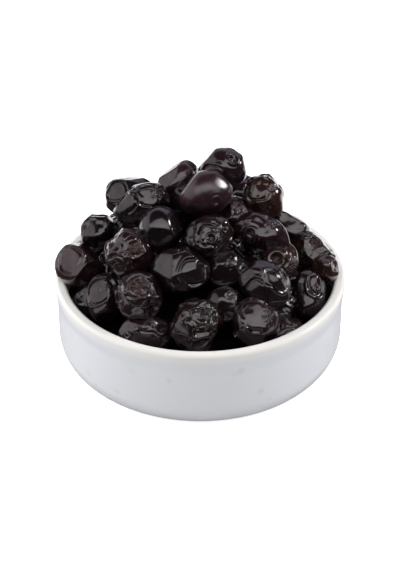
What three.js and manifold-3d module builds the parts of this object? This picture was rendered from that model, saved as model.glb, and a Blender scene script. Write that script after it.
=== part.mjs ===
// Dish of black olives: a straight-sided round glazed dish with a heap of oil-cured olives.
// Millimetres, +Z up, origin at the centre of the underside, the serving side towards -Y.
import * as THREE from 'three';
import { mergeVertices } from 'three/addons/utils/BufferGeometryUtils.js';
import Module from 'manifold-3d';

// ---- driving dimensions of the dish ----
const DISH_RADIUS = 60.0;        // outside of the rim, the widest part
const DISH_HEIGHT = 38.6;        // table to the top of the rim
const WALL_RADIUS = 59.3;        // outside of the wall below the rim
const RIM_THICKNESS = 4.6;       // rim measured across its flat top
const LIP_DROP = 6.0;            // height over which the rim swells out of the wall
const RIM_ROUND = 1.6;           // rounding of both edges of the rim
const CORNER_RADIUS = 12.5;      // outside bend from wall to base
const FLOOR_THICKNESS = 4.4;     // base measured inside the foot ring
const FOOT_RADIUS = 46.8;        // outside of the flat the dish stands on
const FOOT_WIDTH = 4.0;          // width of that flat
const FOOT_RECESS = 1.2;         // depth of the recess inside the foot ring
const INNER_CORNER = 9.0;        // inside bend from wall to floor
const DISH_SEGMENTS = 56;

// ---- driving dimensions of the heap ----
const FIT_GAP = 0.3;             // clearance between the food and the dish
const CORE_EDGE_HEIGHT = 28.0;   // where the buried core meets the wall
const CORE_TOP_HEIGHT = 60.0;    // top of the buried core
const CORE_SEGMENTS = 36;
const BURIED_DEPTH = 2.0;        // an olive whose centre lies deeper in the core doesn't show
const SLIVER = 0.12;             // edges shorter than this are closed up after fusing
const FINE_DETAIL = 2;           // sides of a named olive high up, which shapes the outline
const FINE_HEIGHT = 60.0;        // from this height up
const PLAIN_DETAIL = 1;          // sides of the others

// ---- the olives that lie on the serving side ----
// centre x, y, z, half length, half width, turn about Z, lift of the long axis (mm, degrees)
const FRONT_OLIVES = [
  { name: 'crown_left', at: [-9.5, 22, 68.6], half: [10, 7], turn: 24, lift: 31 },
  { name: 'crown_top', at: [9.5, 18.5, 76.6], half: [9.6, 8.9], turn: 20, lift: 10 },
  { name: 'crown_plum', at: [2.5, 3, 74.6], half: [11.3, 9.2], turn: 15, lift: 21 },
  { name: 'crown_right', at: [26, 10.5, 67.2], half: [10.4, 8.2], turn: 85, lift: 50 },
  { name: 'shoulder_back', at: [-29, 18, 63.5], half: [10.8, 8.5], turn: 5, lift: 0 },
  { name: 'shoulder_front', at: [-23.7, 5, 67.9], half: [11, 8.4], turn: 12, lift: 17 },
  { name: 'left_small', at: [-42.5, 13, 50.5], half: [8.2, 7.2], turn: 30, lift: 0 },
  { name: 'left_flat_end', at: [-49.6, -4, 44.3], half: [10.2, 9.2], turn: -60, lift: 30 },
  { name: 'left_torn', at: [-28.6, -16, 57.5], half: [10.2, 9.4], turn: 60, lift: 10 },
  { name: 'left_smooth', at: [-16, -8, 64], half: [9.2, 8.6], turn: 80, lift: 40 },
  { name: 'behind_plum', at: [-6, 11, 64.5], half: [7.8, 7], turn: 80, lift: 60 },
  { name: 'centre_swirl', at: [3.7, -13, 63.4], half: [9.4, 8.1], turn: 20, lift: 5 },
  { name: 'under_plum', at: [14, 5, 62], half: [8.2, 7.2], turn: 70, lift: 60 },
  { name: 'right_long', at: [25.2, -6, 61], half: [12, 7.2], turn: -12, lift: -18 },
  { name: 'right_shard', at: [37.6, 12, 52.6], half: [8.6, 5.6], turn: -19, lift: -26 },
  { name: 'right_dent', at: [46.4, 4.5, 45.4], half: [9.7, 7.2], turn: -30, lift: -15 },
  { name: 'right_edge', at: [50.9, -4, 42], half: [7.2, 5.7], turn: -90, lift: 60 },
  { name: 'right_stem_hole', at: [32.3, -11, 51.3], half: [9, 7.1], turn: -98, lift: 20 },
  { name: 'middle_ridge', at: [-7.7, -25, 55.2], half: [11, 9.2], turn: 0, lift: 0 },
  { name: 'middle_dark', at: [10, -19, 51.5], half: [9, 7.8], turn: 0, lift: 20 },
  { name: 'right_mirror', at: [26, -27, 50], half: [10.8, 8.4], turn: -21, lift: -28 },
  { name: 'right_tall', at: [44.2, -17, 37.8], half: [10.6, 6.3], turn: 90, lift: 56 },
  { name: 'front_torn_top', at: [-24, -33, 48.4], half: [9.3, 8.8], turn: 90, lift: 60 },
  { name: 'left_tall', at: [-38.6, -22.3, 40.4], half: [9.9, 7.1], turn: 90, lift: 56 },
  { name: 'left_low', at: [-44.8, -13, 32.5], half: [8, 6.4], turn: 60, lift: 20 },
  { name: 'front_low', at: [-21, -38.6, 33.4], half: [11, 8.2], turn: 5, lift: 0 },
  { name: 'front_wrinkled', at: [-1.5, -42.4, 41.2], half: [9.9, 9.3], turn: 60, lift: 50 },
  { name: 'front_gap', at: [9.7, -33, 44.2], half: [7.8, 7.2], turn: 20, lift: 0 },
  { name: 'front_sparkle', at: [21.5, -39, 39.8], half: [9.5, 9.3], turn: 0, lift: 0 },
  { name: 'front_corner', at: [34, -31, 28.5], half: [8.6, 7.4], turn: 40, lift: 0 },
];

// ---- the rest of the heap: olives laid one by one, from the rim up, wherever one finds room ----
const LAY_EDGE_HEIGHT = 42.0;    // height of an olive's centre 50 mm out
const LAY_TOP_HEIGHT = 74.0;     // height of an olive's centre at the top of the heap
const LAY_RADIUS = 50.0;
const LAY_SWELL = 1.35;          // 1 is a straight cone, more is a rounder heap
const LAY_LEAN = 0.22;           // mm behind the centre for each mm above the edge
const SERVING_DROP = 20.0;       // how much lower the laid olives lie under the named ones
const SERVING_ENDS = [6.0, 31.0]; // y where that is reached, and where it begins
const RIM_DROP = 8.0;            // and how much lower again next to the serving rim
const RIM_ENDS = [-35.0, -15.0];
const SIDE_FALL = 0.5;           // fall of the heap for each mm further to a side
const SIDE_START = 15.0;         // from this far to a side
const LAY_STEP = 1.0;            // mm between two tries up the heap
const LAY_TURN = 4;              // degrees between two tries around it
const LAY_FIRST_BEARING = 96;
const LAY_LAYERS = [             // depth below the top layer, and how far olives may press together
  { drop: 0, press: 2.4 },
  { drop: 3.5, press: 3.0 },
  { drop: 7, press: 3.4 },
];
const FINE_SCALE = 1.018;        // makes up for the flats between the corners
const PLAIN_SCALE = 1.035;
const LAY_MISSES = 3;            // a layer is full after this many olives that find no room
const OLIVE_LENGTHS = [8.8, 10.4];
const OLIVE_WIDTHS = [7.4, 8.6];
const DRAW_SEED = 20117;

const wasm = await Module();
wasm.setup();

/** Repeatable draw from 0 to 1 (Park-Miller). */
function makeDraw(seed) {
  let state = seed;
  return () => {
    state = (state * 48271) % 2147483647;
    return state / 2147483647;
  };
}

function radians(degrees) {
  return degrees * Math.PI / 180;
}

/** Points of a bend in the (r, z) half plane, both ends included. */
function bend(r, z, radius, fromDegrees, toDegrees, steps) {
  const points = [];
  for (let i = 0; i <= steps; i += 1) {
    const angle = radians(fromDegrees + (toDegrees - fromDegrees) * i / steps);
    points.push([r + radius * Math.cos(angle), z + radius * Math.sin(angle)]);
  }
  return points;
}

/** Half section of the dish from the underside's centre, up the outside and back to the floor's. */
function dishSection() {
  const points = [[0, FOOT_RECESS]];
  points.push([FOOT_RADIUS - FOOT_WIDTH - FOOT_RECESS, FOOT_RECESS]);
  points.push([FOOT_RADIUS - FOOT_WIDTH, 0]);
  points.push(...bend(WALL_RADIUS - CORNER_RADIUS, CORNER_RADIUS, CORNER_RADIUS, -90, 0, 7));
  const swell = DISH_RADIUS - WALL_RADIUS;
  const lipStart = DISH_HEIGHT - RIM_ROUND - LIP_DROP;
  for (let i = 0; i <= 4; i += 1) {
    const s = i / 4;
    points.push([WALL_RADIUS + swell * s * s * (3 - 2 * s), lipStart + LIP_DROP * 0.8 * s]);
  }
  points.push(...bend(DISH_RADIUS - RIM_ROUND, DISH_HEIGHT - RIM_ROUND, RIM_ROUND, 0, 90, 4));
  const inner = DISH_RADIUS - RIM_THICKNESS;
  points.push(...bend(inner + RIM_ROUND, DISH_HEIGHT - RIM_ROUND, RIM_ROUND, 90, 180, 3));
  const floor = FOOT_RECESS + FLOOR_THICKNESS;
  points.push(...bend(inner - INNER_CORNER, floor + INNER_CORNER, INNER_CORNER, 0, -90, 5));
  points.push([0, floor]);
  return points;
}

/** Half section of the buried core: it follows the dish inside and rises to a blunt cone. */
function coreSection() {
  const inner = DISH_RADIUS - RIM_THICKNESS - FIT_GAP;
  const floor = FOOT_RECESS + FLOOR_THICKNESS + FIT_GAP;
  const points = [[0, floor]];
  points.push(...bend(inner - INNER_CORNER, floor + INNER_CORNER, INNER_CORNER, -90, 0, 5));
  points.push([inner, CORE_EDGE_HEIGHT]);
  const rise = CORE_TOP_HEIGHT - CORE_EDGE_HEIGHT;
  for (let i = 1; i <= 6; i += 1) {
    const out = 1 - i / 6;
    points.push([inner * out, CORE_EDGE_HEIGHT + rise * (1 - Math.pow(out, 1.25))]);
  }
  return points;
}

/** Section turned about Z; above the lean height it is drawn back as the heap is. */
function turned(section, segments, leanFrom = Infinity) {
  const profile = section.map(([r, z]) => new THREE.Vector2(r, z));
  const geometry = new THREE.LatheGeometry(profile, segments);
  geometry.rotateX(Math.PI / 2);
  const position = geometry.attributes.position;
  for (let i = 0; i < position.count; i += 1) {
    const above = Math.max(0, position.getZ(i) - leanFrom);
    position.setY(i, position.getY(i) + above * LAY_LEAN);
  }
  return solidOf(geometry);
}

/** Closed solid of a geometry, its seams joined and its faces turned outward. */
function solidOf(geometry) {
  const bare = geometry.clone();
  bare.deleteAttribute('normal');
  bare.deleteAttribute('uv');
  const merged = mergeVertices(bare, 1e-4);
  const from = merged.index.array;
  const kept = [];
  for (let i = 0; i < from.length; i += 3) {
    const [a, b, c] = [from[i], from[i + 1], from[i + 2]];
    if (a !== b && b !== c && c !== a) {
      kept.push(a, b, c);
    }
  }
  const vertProperties = new Float32Array(merged.attributes.position.array);
  if (signedVolume(vertProperties, kept) < 0) {
    for (let i = 0; i < kept.length; i += 3) {
      [kept[i + 1], kept[i + 2]] = [kept[i + 2], kept[i + 1]];
    }
  }
  const triVerts = new Uint32Array(kept);
  return new wasm.Manifold(new wasm.Mesh({ numProp: 3, vertProperties, triVerts }));
}

function signedVolume(positions, triangles) {
  let total = 0;
  const [a, b, c] = [new THREE.Vector3(), new THREE.Vector3(), new THREE.Vector3()];
  for (let i = 0; i < triangles.length; i += 3) {
    a.fromArray(positions, triangles[i] * 3);
    b.fromArray(positions, triangles[i + 1] * 3);
    c.fromArray(positions, triangles[i + 2] * 3);
    total += a.dot(b.cross(c)) / 6;
  }
  return total;
}

/** Unit direction of an olive's long axis. */
function longAxis(olive) {
  const [turn, lift] = [radians(olive.turn), radians(olive.lift)];
  const level = Math.cos(lift);
  return new THREE.Vector3(level * Math.cos(turn), level * Math.sin(turn), Math.sin(lift));
}

/** One plump olive with few sides. */
function oliveSolid(olive) {
  const [length, width] = olive.half;
  const fine = olive.name !== 'laid' && olive.at[2] > FINE_HEIGHT;
  const sphere = [fine ? FINE_SCALE : PLAIN_SCALE, fine ? FINE_DETAIL : PLAIN_DETAIL];
  const geometry = new THREE.IcosahedronGeometry(...sphere);
  geometry.scale(width, width, length);
  const axis = longAxis(olive);
  const side = new THREE.Vector3(-Math.sin(radians(olive.turn)), Math.cos(radians(olive.turn)), 0);
  const third = axis.clone().cross(side);
  const placed = new THREE.Matrix4().makeBasis(side, third, axis);
  placed.setPosition(new THREE.Vector3(...olive.at));
  geometry.applyMatrix4(placed);
  return solidOf(geometry);
}

/** Distance from an olive's centre to its skin along a unit direction. */
function reach(olive, direction) {
  const along = longAxis(olive).dot(direction);
  const [length, width] = olive.half;
  return 1 / Math.sqrt((along / length) ** 2 + (1 - along * along) / (width * width));
}

/** True if an olive presses into one of the others by more than is allowed. */
function crowds(olive, others, press) {
  const centre = new THREE.Vector3(...olive.at);
  return others.some((other) => {
    const apart = new THREE.Vector3(...other.at).sub(centre);
    const distance = apart.length();
    apart.normalize();
    return reach(olive, apart) + reach(other, apart) - distance > press;
  });
}

/** How far an olive reaches from its centre, measured square to a level direction. */
function spread(olive, bearing) {
  const along = longAxis(olive).dot(new THREE.Vector3(Math.cos(bearing), Math.sin(bearing), 0));
  const [length, width] = olive.half;
  return Math.sqrt(width * width + (length * length - width * width) * along * along);
}

/** Share of the way from the back to the front one of two places along y, held to 0 to 1. */
function nearness(y, [front, back]) {
  return Math.min(Math.max((back - y) / (back - front), 0), 1);
}

/** Centre of an olive that lies a given way out on the heap and below its top layer. */
function layPoint(out, bearing, drop) {
  const rise = LAY_TOP_HEIGHT - LAY_EDGE_HEIGHT;
  const z = LAY_EDGE_HEIGHT + rise * (1 - Math.pow(out / LAY_RADIUS, LAY_SWELL));
  const x = out * Math.cos(bearing);
  const y = out * Math.sin(bearing) + (z - LAY_EDGE_HEIGHT) * LAY_LEAN;
  const served = SERVING_DROP * nearness(y, SERVING_ENDS) + RIM_DROP * nearness(y, RIM_ENDS);
  const fall = SIDE_FALL * Math.max(Math.abs(x) - SIDE_START, 0);
  return [x, y, z - drop - Math.max(served, fall)];
}

/** First free place for an olive, tried from the rim to the top of the heap. */
function freePlace(olive, others, layer) {
  const inner = DISH_RADIUS - RIM_THICKNESS - FIT_GAP;
  for (let step = 0; step * LAY_STEP < LAY_RADIUS; step += 1) {
    for (let turn = 0; turn < 360; turn += LAY_TURN) {
      const bearing = radians(LAY_FIRST_BEARING + turn);
      const out = inner - spread(olive, bearing) - step * LAY_STEP;
      if (out > 0) {
        const placed = { ...olive, at: layPoint(out, bearing, layer.drop) };
        if (!crowds(placed, others, layer.press)) {
          return placed;
        }
      }
    }
  }
  return null;
}

/** The named olives and those laid one by one between and behind them. */
function heapOlives() {
  const draw = makeDraw(DRAW_SEED);
  const between = ([low, high]) => low + (high - low) * draw();
  const olives = [...FRONT_OLIVES];
  for (const layer of LAY_LAYERS) {
    let misses = 0;
    while (misses < LAY_MISSES) {
      const olive = {
        name: 'laid',
        half: [between(OLIVE_LENGTHS), between(OLIVE_WIDTHS)],
        turn: 360 * draw(),
        lift: 70 * draw() - 20,
      };
      const placed = freePlace(olive, olives, layer);
      if (placed) {
        olives.push(placed);
      } else {
        misses += 1;
      }
    }
  }
  return olives;
}

/** The space the dish itself takes up, with the clearance the food keeps from it. */
function dishSpace() {
  const inner = DISH_RADIUS - RIM_THICKNESS - FIT_GAP;
  const top = DISH_HEIGHT + FIT_GAP;
  const outer = DISH_RADIUS + 20;
  const floor = FOOT_RECESS + FLOOR_THICKNESS + FIT_GAP;
  const section = [[inner, floor], [outer, floor], [outer, top], [inner + 1.2, top], [inner, top - 1.2]];
  return turned([...section, section[0]], 64);
}

/** Largest of the separate shells of a solid: loose scraps go, and sealed hollows are filled. */
function mainPiece(solid) {
  const pieces = solid.decompose();
  pieces.sort((a, b) => b.volume() - a.volume());
  return pieces[0];
}

function geometryOf(solid) {
  const mesh = solid.getMesh();
  const geometry = new THREE.BufferGeometry();
  geometry.setAttribute('position', new THREE.BufferAttribute(mesh.vertProperties, 3));
  geometry.setIndex(new THREE.BufferAttribute(mesh.triVerts, 1));
  geometry.computeVertexNormals();
  return geometry;
}

/** Glazed dish: one turned piece with a soft lip and a shallow foot ring. */
function buildDish() {
  const glaze = new THREE.MeshStandardMaterial({ color: 0xf0efec, roughness: 0.2 });
  const mesh = new THREE.Mesh(geometryOf(turned(dishSection(), DISH_SEGMENTS)), glaze);
  mesh.name = 'dish';
  return mesh;
}

/** Height of the buried core's skin above or below an olive's centre. */
function coreHeight([x, y]) {
  const inner = DISH_RADIUS - RIM_THICKNESS - FIT_GAP;
  const out = Math.min(Math.hypot(x, y) / inner, 1);
  return CORE_EDGE_HEIGHT + (CORE_TOP_HEIGHT - CORE_EDGE_HEIGHT) * (1 - Math.pow(out, 1.25));
}

/** Heap of olives: a buried core with every olive that shows fused on. */
function buildHeap() {
  let heap = turned(coreSection(), CORE_SEGMENTS, LAY_EDGE_HEIGHT);
  const shown = heapOlives().filter((olive) => olive.at[2] > coreHeight(olive.at) - BURIED_DEPTH);
  for (const olive of shown) {
    heap = heap.add(oliveSolid(olive));
  }
  heap = mainPiece(heap.subtract(dishSpace()).simplify(SLIVER));
  const skin = new THREE.MeshStandardMaterial({ color: 0x1d181b, roughness: 0.25 });
  const mesh = new THREE.Mesh(geometryOf(heap), skin);
  mesh.name = 'olive_heap';
  return mesh;
}

const part = new THREE.Group();
part.name = 'dish_of_olives';
part.add(buildDish());
part.add(buildHeap());

export default part;
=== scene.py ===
"""Looks of a dish of olives: a white glazed dish heaped with glossy, wrinkled black olives.

Metres, +Z up, origin at the centre of the dish's underside, the serving side towards -Y.
"""

from __future__ import annotations

import logging
import math
from collections.abc import Iterator
from dataclasses import dataclass, field
from enum import Enum
from typing import NamedTuple

import bpy
import numpy as np
from mathutils import Matrix, Vector


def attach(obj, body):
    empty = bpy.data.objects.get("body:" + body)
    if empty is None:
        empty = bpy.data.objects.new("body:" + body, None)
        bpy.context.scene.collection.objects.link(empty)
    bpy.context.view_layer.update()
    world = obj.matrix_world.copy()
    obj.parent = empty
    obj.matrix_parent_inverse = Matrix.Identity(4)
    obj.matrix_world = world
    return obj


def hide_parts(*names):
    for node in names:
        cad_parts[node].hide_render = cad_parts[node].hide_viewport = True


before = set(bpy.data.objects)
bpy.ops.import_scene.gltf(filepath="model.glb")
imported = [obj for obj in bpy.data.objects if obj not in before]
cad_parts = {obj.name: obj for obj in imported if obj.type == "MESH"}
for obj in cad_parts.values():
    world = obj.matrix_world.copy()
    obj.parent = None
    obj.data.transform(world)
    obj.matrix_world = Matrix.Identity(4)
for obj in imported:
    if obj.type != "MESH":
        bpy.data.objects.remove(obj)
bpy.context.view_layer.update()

LOG = logging.getLogger("dish_of_olives")
MM = 0.001

COLUMN, ROW, COLUMNS = 220, 260, 12
"""Room for one node in a tree's drawing, and how many stand in a row."""

DRAW_FACTOR, DRAW_MODULUS = 48271, 2**31 - 1
"""Factor and modulus of the repeatable draws."""

Step = tuple[str, str, dict, dict | tuple]
"""A node of a tree: its name, its kind, its settings and its inputs."""

Spot = tuple[float, float, float]
"""A place on an olive: its clock angle, its tilt and a size."""

Pair = tuple[float, float]
"""Two ends, or the two coordinates of a point in a half section."""


# --------------------------------------------------------------------------------------
# Small helpers
# --------------------------------------------------------------------------------------


def linear(colour: str) -> tuple[float, float, float, float]:
    """Turn an sRGB hex colour into the linear one that a shader takes.

    Args:
        colour: Six hex digits, such as "f2efe9".

    Returns:
        Linear red, green and blue, and an alpha of 1.
    """
    parts = [int(colour[i : i + 2], 16) / 255 for i in (0, 2, 4)]
    bent = [c / 12.92 if c <= 0.04045 else ((c + 0.055) / 1.055) ** 2.4 for c in parts]
    return (bent[0], bent[1], bent[2], 1.0)


def add_nodes(tree: bpy.types.NodeTree, steps: list[Step]) -> dict[str, bpy.types.Node]:
    """Add nodes to a tree in order, each with its settings, values and links.

    Args:
        tree: The node tree to add to.
        steps: One entry a node: its name, its kind, its settings and its inputs, by name or
            in their order. A kind "Kind:OPERATION" sets the operation too. An input that is a
            text "name" or "name:Output" is linked from that earlier node; "=text" is a plain
            text value; anything else is a value.

    Returns:
        The nodes by name.
    """
    made = {node.name: node for node in tree.nodes}
    for place, (name, kind, settings, inputs) in enumerate(steps):
        kind, _, operation = kind.partition(":")
        node = tree.nodes.new(kind)
        node.name = name
        node.label = name
        node.location = (COLUMN * (place % COLUMNS), -ROW * (place // COLUMNS))
        if operation:
            node.operation = operation
        for key, value in settings.items():
            setattr(node, key, value)
        pairs = enumerate(inputs) if isinstance(inputs, tuple) else inputs.items()
        for key, value in pairs:
            socket = node.inputs[key]
            if isinstance(value, str) and value.startswith("="):
                socket.default_value = value[1:]
            elif isinstance(value, str):
                source, _, output = value.partition(":")
                outputs = made[source].outputs
                live = [o for o in outputs if o.enabled]
                tree.links.new(outputs[output] if output else live[0], socket)
            else:
                socket.default_value = value
        made[name] = node
    return made


def new_material(name: str, steps: list[Step]) -> bpy.types.Material:
    """Make a node material whose last step is its surface shader.

    Args:
        name: Name of the material.
        steps: The shader's nodes, the last one the surface.

    Returns:
        The material.
    """
    material = bpy.data.materials.new(name)
    material.use_nodes = True
    material.node_tree.nodes.clear()
    made = add_nodes(material.node_tree, steps)
    end = material.node_tree.nodes.new("ShaderNodeOutputMaterial")
    material.node_tree.links.new(made[steps[-1][0]].outputs[0], end.inputs["Surface"])
    return material


def new_mesh_object(name: str, points: np.ndarray, faces: list[list[int]]) -> bpy.types.Object:
    """Make a smooth mesh object at the origin, linked to the scene.

    Args:
        name: Name of the object and its mesh.
        points: Corner positions in metres, one row each.
        faces: Corner indices of each face.

    Returns:
        The object.
    """
    mesh = bpy.data.meshes.new(name)
    mesh.from_pydata([tuple(p) for p in points], [], faces)
    mesh.validate()
    mesh.shade_smooth()
    piece = bpy.data.objects.new(name, mesh)
    bpy.context.scene.collection.objects.link(piece)
    return piece


def bend(r: float, z: float, radius: float, start: float, end: float, steps: int) -> list[Pair]:
    """Points of a bend in the (r, z) half plane.

    Args:
        r: Distance of the bend's centre from the axis.
        z: Height of the bend's centre.
        radius: Radius of the bend.
        start: First angle in degrees, counted from outward.
        end: Last angle in degrees.
        steps: Number of equal steps.

    Returns:
        The points, both ends included.
    """
    angles = [math.radians(start + (end - start) * i / steps) for i in range(steps + 1)]
    return [(r + radius * math.cos(a), z + radius * math.sin(a)) for a in angles]


def between(ends: Pair, share: float) -> float:
    """Value that lies a share of the way from the first of two ends to the second."""
    return ends[0] + (ends[1] - ends[0]) * share


def turned(section: list[Pair], segments: int) -> tuple[np.ndarray, list[list[int]]]:
    """Turn a half section about Z into a closed skin.

    Args:
        section: Points (r, z) from the underside's centre to the upper side's, in millimetres.
        segments: Steps around the axis.

    Returns:
        Corner positions in metres and faces that point outward.
    """
    inner = section[1:-1]
    points = [(0.0, 0.0, section[0][1] * MM)]
    for r, z in inner:
        for k in range(segments):
            a = 2 * math.pi * k / segments
            points.append((r * MM * math.cos(a), r * MM * math.sin(a), z * MM))
    points.append((0.0, 0.0, section[-1][1] * MM))
    last = len(points) - 1
    faces = []
    for k in range(segments):
        n = (k + 1) % segments
        faces.append([0, 1 + n, 1 + k])
        for row in range(len(inner) - 1):
            low, high = 1 + row * segments, 1 + (row + 1) * segments
            faces.append([low + k, low + n, high + n, high + k])
        top = 1 + (len(inner) - 1) * segments
        faces.append([top + k, top + n, last])
    return np.array(points), faces


# --------------------------------------------------------------------------------------
# Finishes
# --------------------------------------------------------------------------------------


@dataclass(frozen=True)
class WhiteGlaze:
    """Glazed stoneware: a fired white glaze over a pressed body, smooth with a soft sheen.

    A smudge is a place on the wall, given by its bearing from the front in degrees, its height
    and its radius in mm and how strong it is, 0 to 1. It is even out to its core and fades out
    to its reach, both in radii, and its edge wanders by the smear.
    """

    body: str = "d1d2d5"
    cool: str = "cdced4"
    # Lip colour: a warmer tone, and lighter as painted light on the rim's top.
    lip: str = "d7d5d2"
    grime: str = "8d837c"
    lip_start_mm: float = 33.5
    lip_end_mm: float = 37.5
    wall_mm: float = 59.3
    cloud_mm: float = 55.0
    ripple_mm: float = 16.0
    ripple_high_mm: float = 0.25
    ripple_strength: float = 0.12
    roughness: float = 0.32
    ior: float = 1.5
    smear_mm: float = 1.6
    smudge_core: float = 0.2
    smudge_reach: float = 1.3
    smudges: tuple[tuple[float, float, float, float], ...] = (
        (24.5, 17.7, 0.8, 0.2),
        (23.6, 17.2, 1.9, 0.09),
        (26.7, 5.8, 0.6, 0.2),
        (27.6, 11.9, 1.2, 0.1),
        (15.5, 29.4, 1.9, 0.15),
        (13.2, 28.6, 1.3, 0.1),
        (3.4, 8.6, 0.6, 0.13),
        (-28.0, 7.3, 1.2, 0.12),
        (-27.1, 26.8, 1.7, 0.1),
        (-11.8, 25.5, 1.2, 0.12),
        (-49.6, 14.6, 1.9, 0.12),
        (-45.0, 11.2, 1.4, 0.1),
        (-33.9, 13.6, 1.6, 0.12),
        (62.0, 21.0, 1.5, 0.1),
        (118.0, 12.0, 1.4, 0.12),
        (171.0, 24.0, 1.1, 0.14),
        (-140.0, 17.0, 1.7, 0.1),
        (-96.0, 8.0, 1.2, 0.12),
    )

    def _smudge_steps(self, first: str) -> list[Step]:
        """Nodes that lay the smudges of handling over the white.

        Args:
            first: Name of the node with the clean colour.

        Returns:
            The steps; the last one is the smudged colour.
        """
        steps: list[Step] = [
            (
                "smear",
                "ShaderNodeTexNoise",
                {},
                {"Vector": "place:Object", "Scale": 1 / (self.smear_mm * MM), "Detail": 1.0},
            ),
            (
                "smeared",
                "ShaderNodeVectorMath:MULTIPLY_ADD",
                {},
                ("smear:Color", (self.smear_mm * MM,) * 3, "place:Object"),
            ),
        ]
        last = first
        for i, (bearing, height, radius, strength) in enumerate(self.smudges):
            way = math.radians(bearing)
            at = (self.wall_mm * math.sin(way), -self.wall_mm * math.cos(way), height)
            # The noise above moves everything by half its height on the average.
            spot = tuple((part + self.smear_mm / 2) * MM for part in at)
            steps += [
                (f"off_{i}", "ShaderNodeVectorMath:DISTANCE", {}, ("smeared", spot)),
                (
                    f"seen_{i}",
                    "ShaderNodeMapRange",
                    {"interpolation_type": "SMOOTHSTEP"},
                    {
                        "Value": f"off_{i}:Value",
                        "From Min": self.smudge_core * radius * MM,
                        "From Max": self.smudge_reach * radius * MM,
                        "To Min": strength,
                        "To Max": 0.0,
                    },
                ),
                (
                    f"smudged_{i}",
                    "ShaderNodeMix",
                    {"data_type": "RGBA"},
                    {0: f"seen_{i}:Result", 6: last, 7: linear(self.grime)},
                ),
            ]
            last = f"smudged_{i}"
        return steps

    def material(self) -> bpy.types.Material:
        """Build the glaze.

        Returns:
            The material.
        """
        steps: list[Step] = [
            ("place", "ShaderNodeTexCoord", {}, {}),
            # The glaze pools a little unevenly, so its white drifts over a few centimetres.
            (
                "cloud",
                "ShaderNodeTexNoise",
                {},
                {"Vector": "place:Object", "Scale": 1 / (self.cloud_mm * MM), "Detail": 1.0},
            ),
            (
                "white",
                "ShaderNodeMix",
                {"data_type": "RGBA"},
                {0: "cloud:Fac", 6: linear(self.body), 7: linear(self.cool)},
            ),
            # The lip is warmer, where the glaze runs thin over it, and lighter: painted light where
            # the rim's top catches the light.
            ("height", "ShaderNodeSeparateXYZ", {}, {0: "place:Object"}),
            (
                "thin",
                "ShaderNodeMapRange",
                {"interpolation_type": "SMOOTHSTEP"},
                {
                    "Value": "height:Z",
                    "From Min": self.lip_start_mm * MM,
                    "From Max": self.lip_end_mm * MM,
                },
            ),
            (
                "lipped",
                "ShaderNodeMix",
                {"data_type": "RGBA"},
                {0: "thin:Result", 6: "white", 7: linear(self.lip)},
            ),
        ]
        steps += self._smudge_steps("lipped")
        steps += [
            (
                "ripple",
                "ShaderNodeTexNoise",
                {},
                {"Vector": "place:Object", "Scale": 1 / (self.ripple_mm * MM), "Detail": 1.0},
            ),
            (
                "relief",
                "ShaderNodeBump",
                {},
                {
                    "Height": "ripple:Fac",
                    "Strength": self.ripple_strength,
                    "Distance": self.ripple_high_mm * MM,
                },
            ),
            (
                "glaze",
                "ShaderNodeBsdfPrincipled",
                {},
                {
                    "Base Color": f"smudged_{len(self.smudges) - 1}",
                    "Roughness": self.roughness,
                    "IOR": self.ior,
                    "Normal": "relief",
                },
            ),
        ]
        return new_material("fired_white_glaze", steps)


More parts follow.
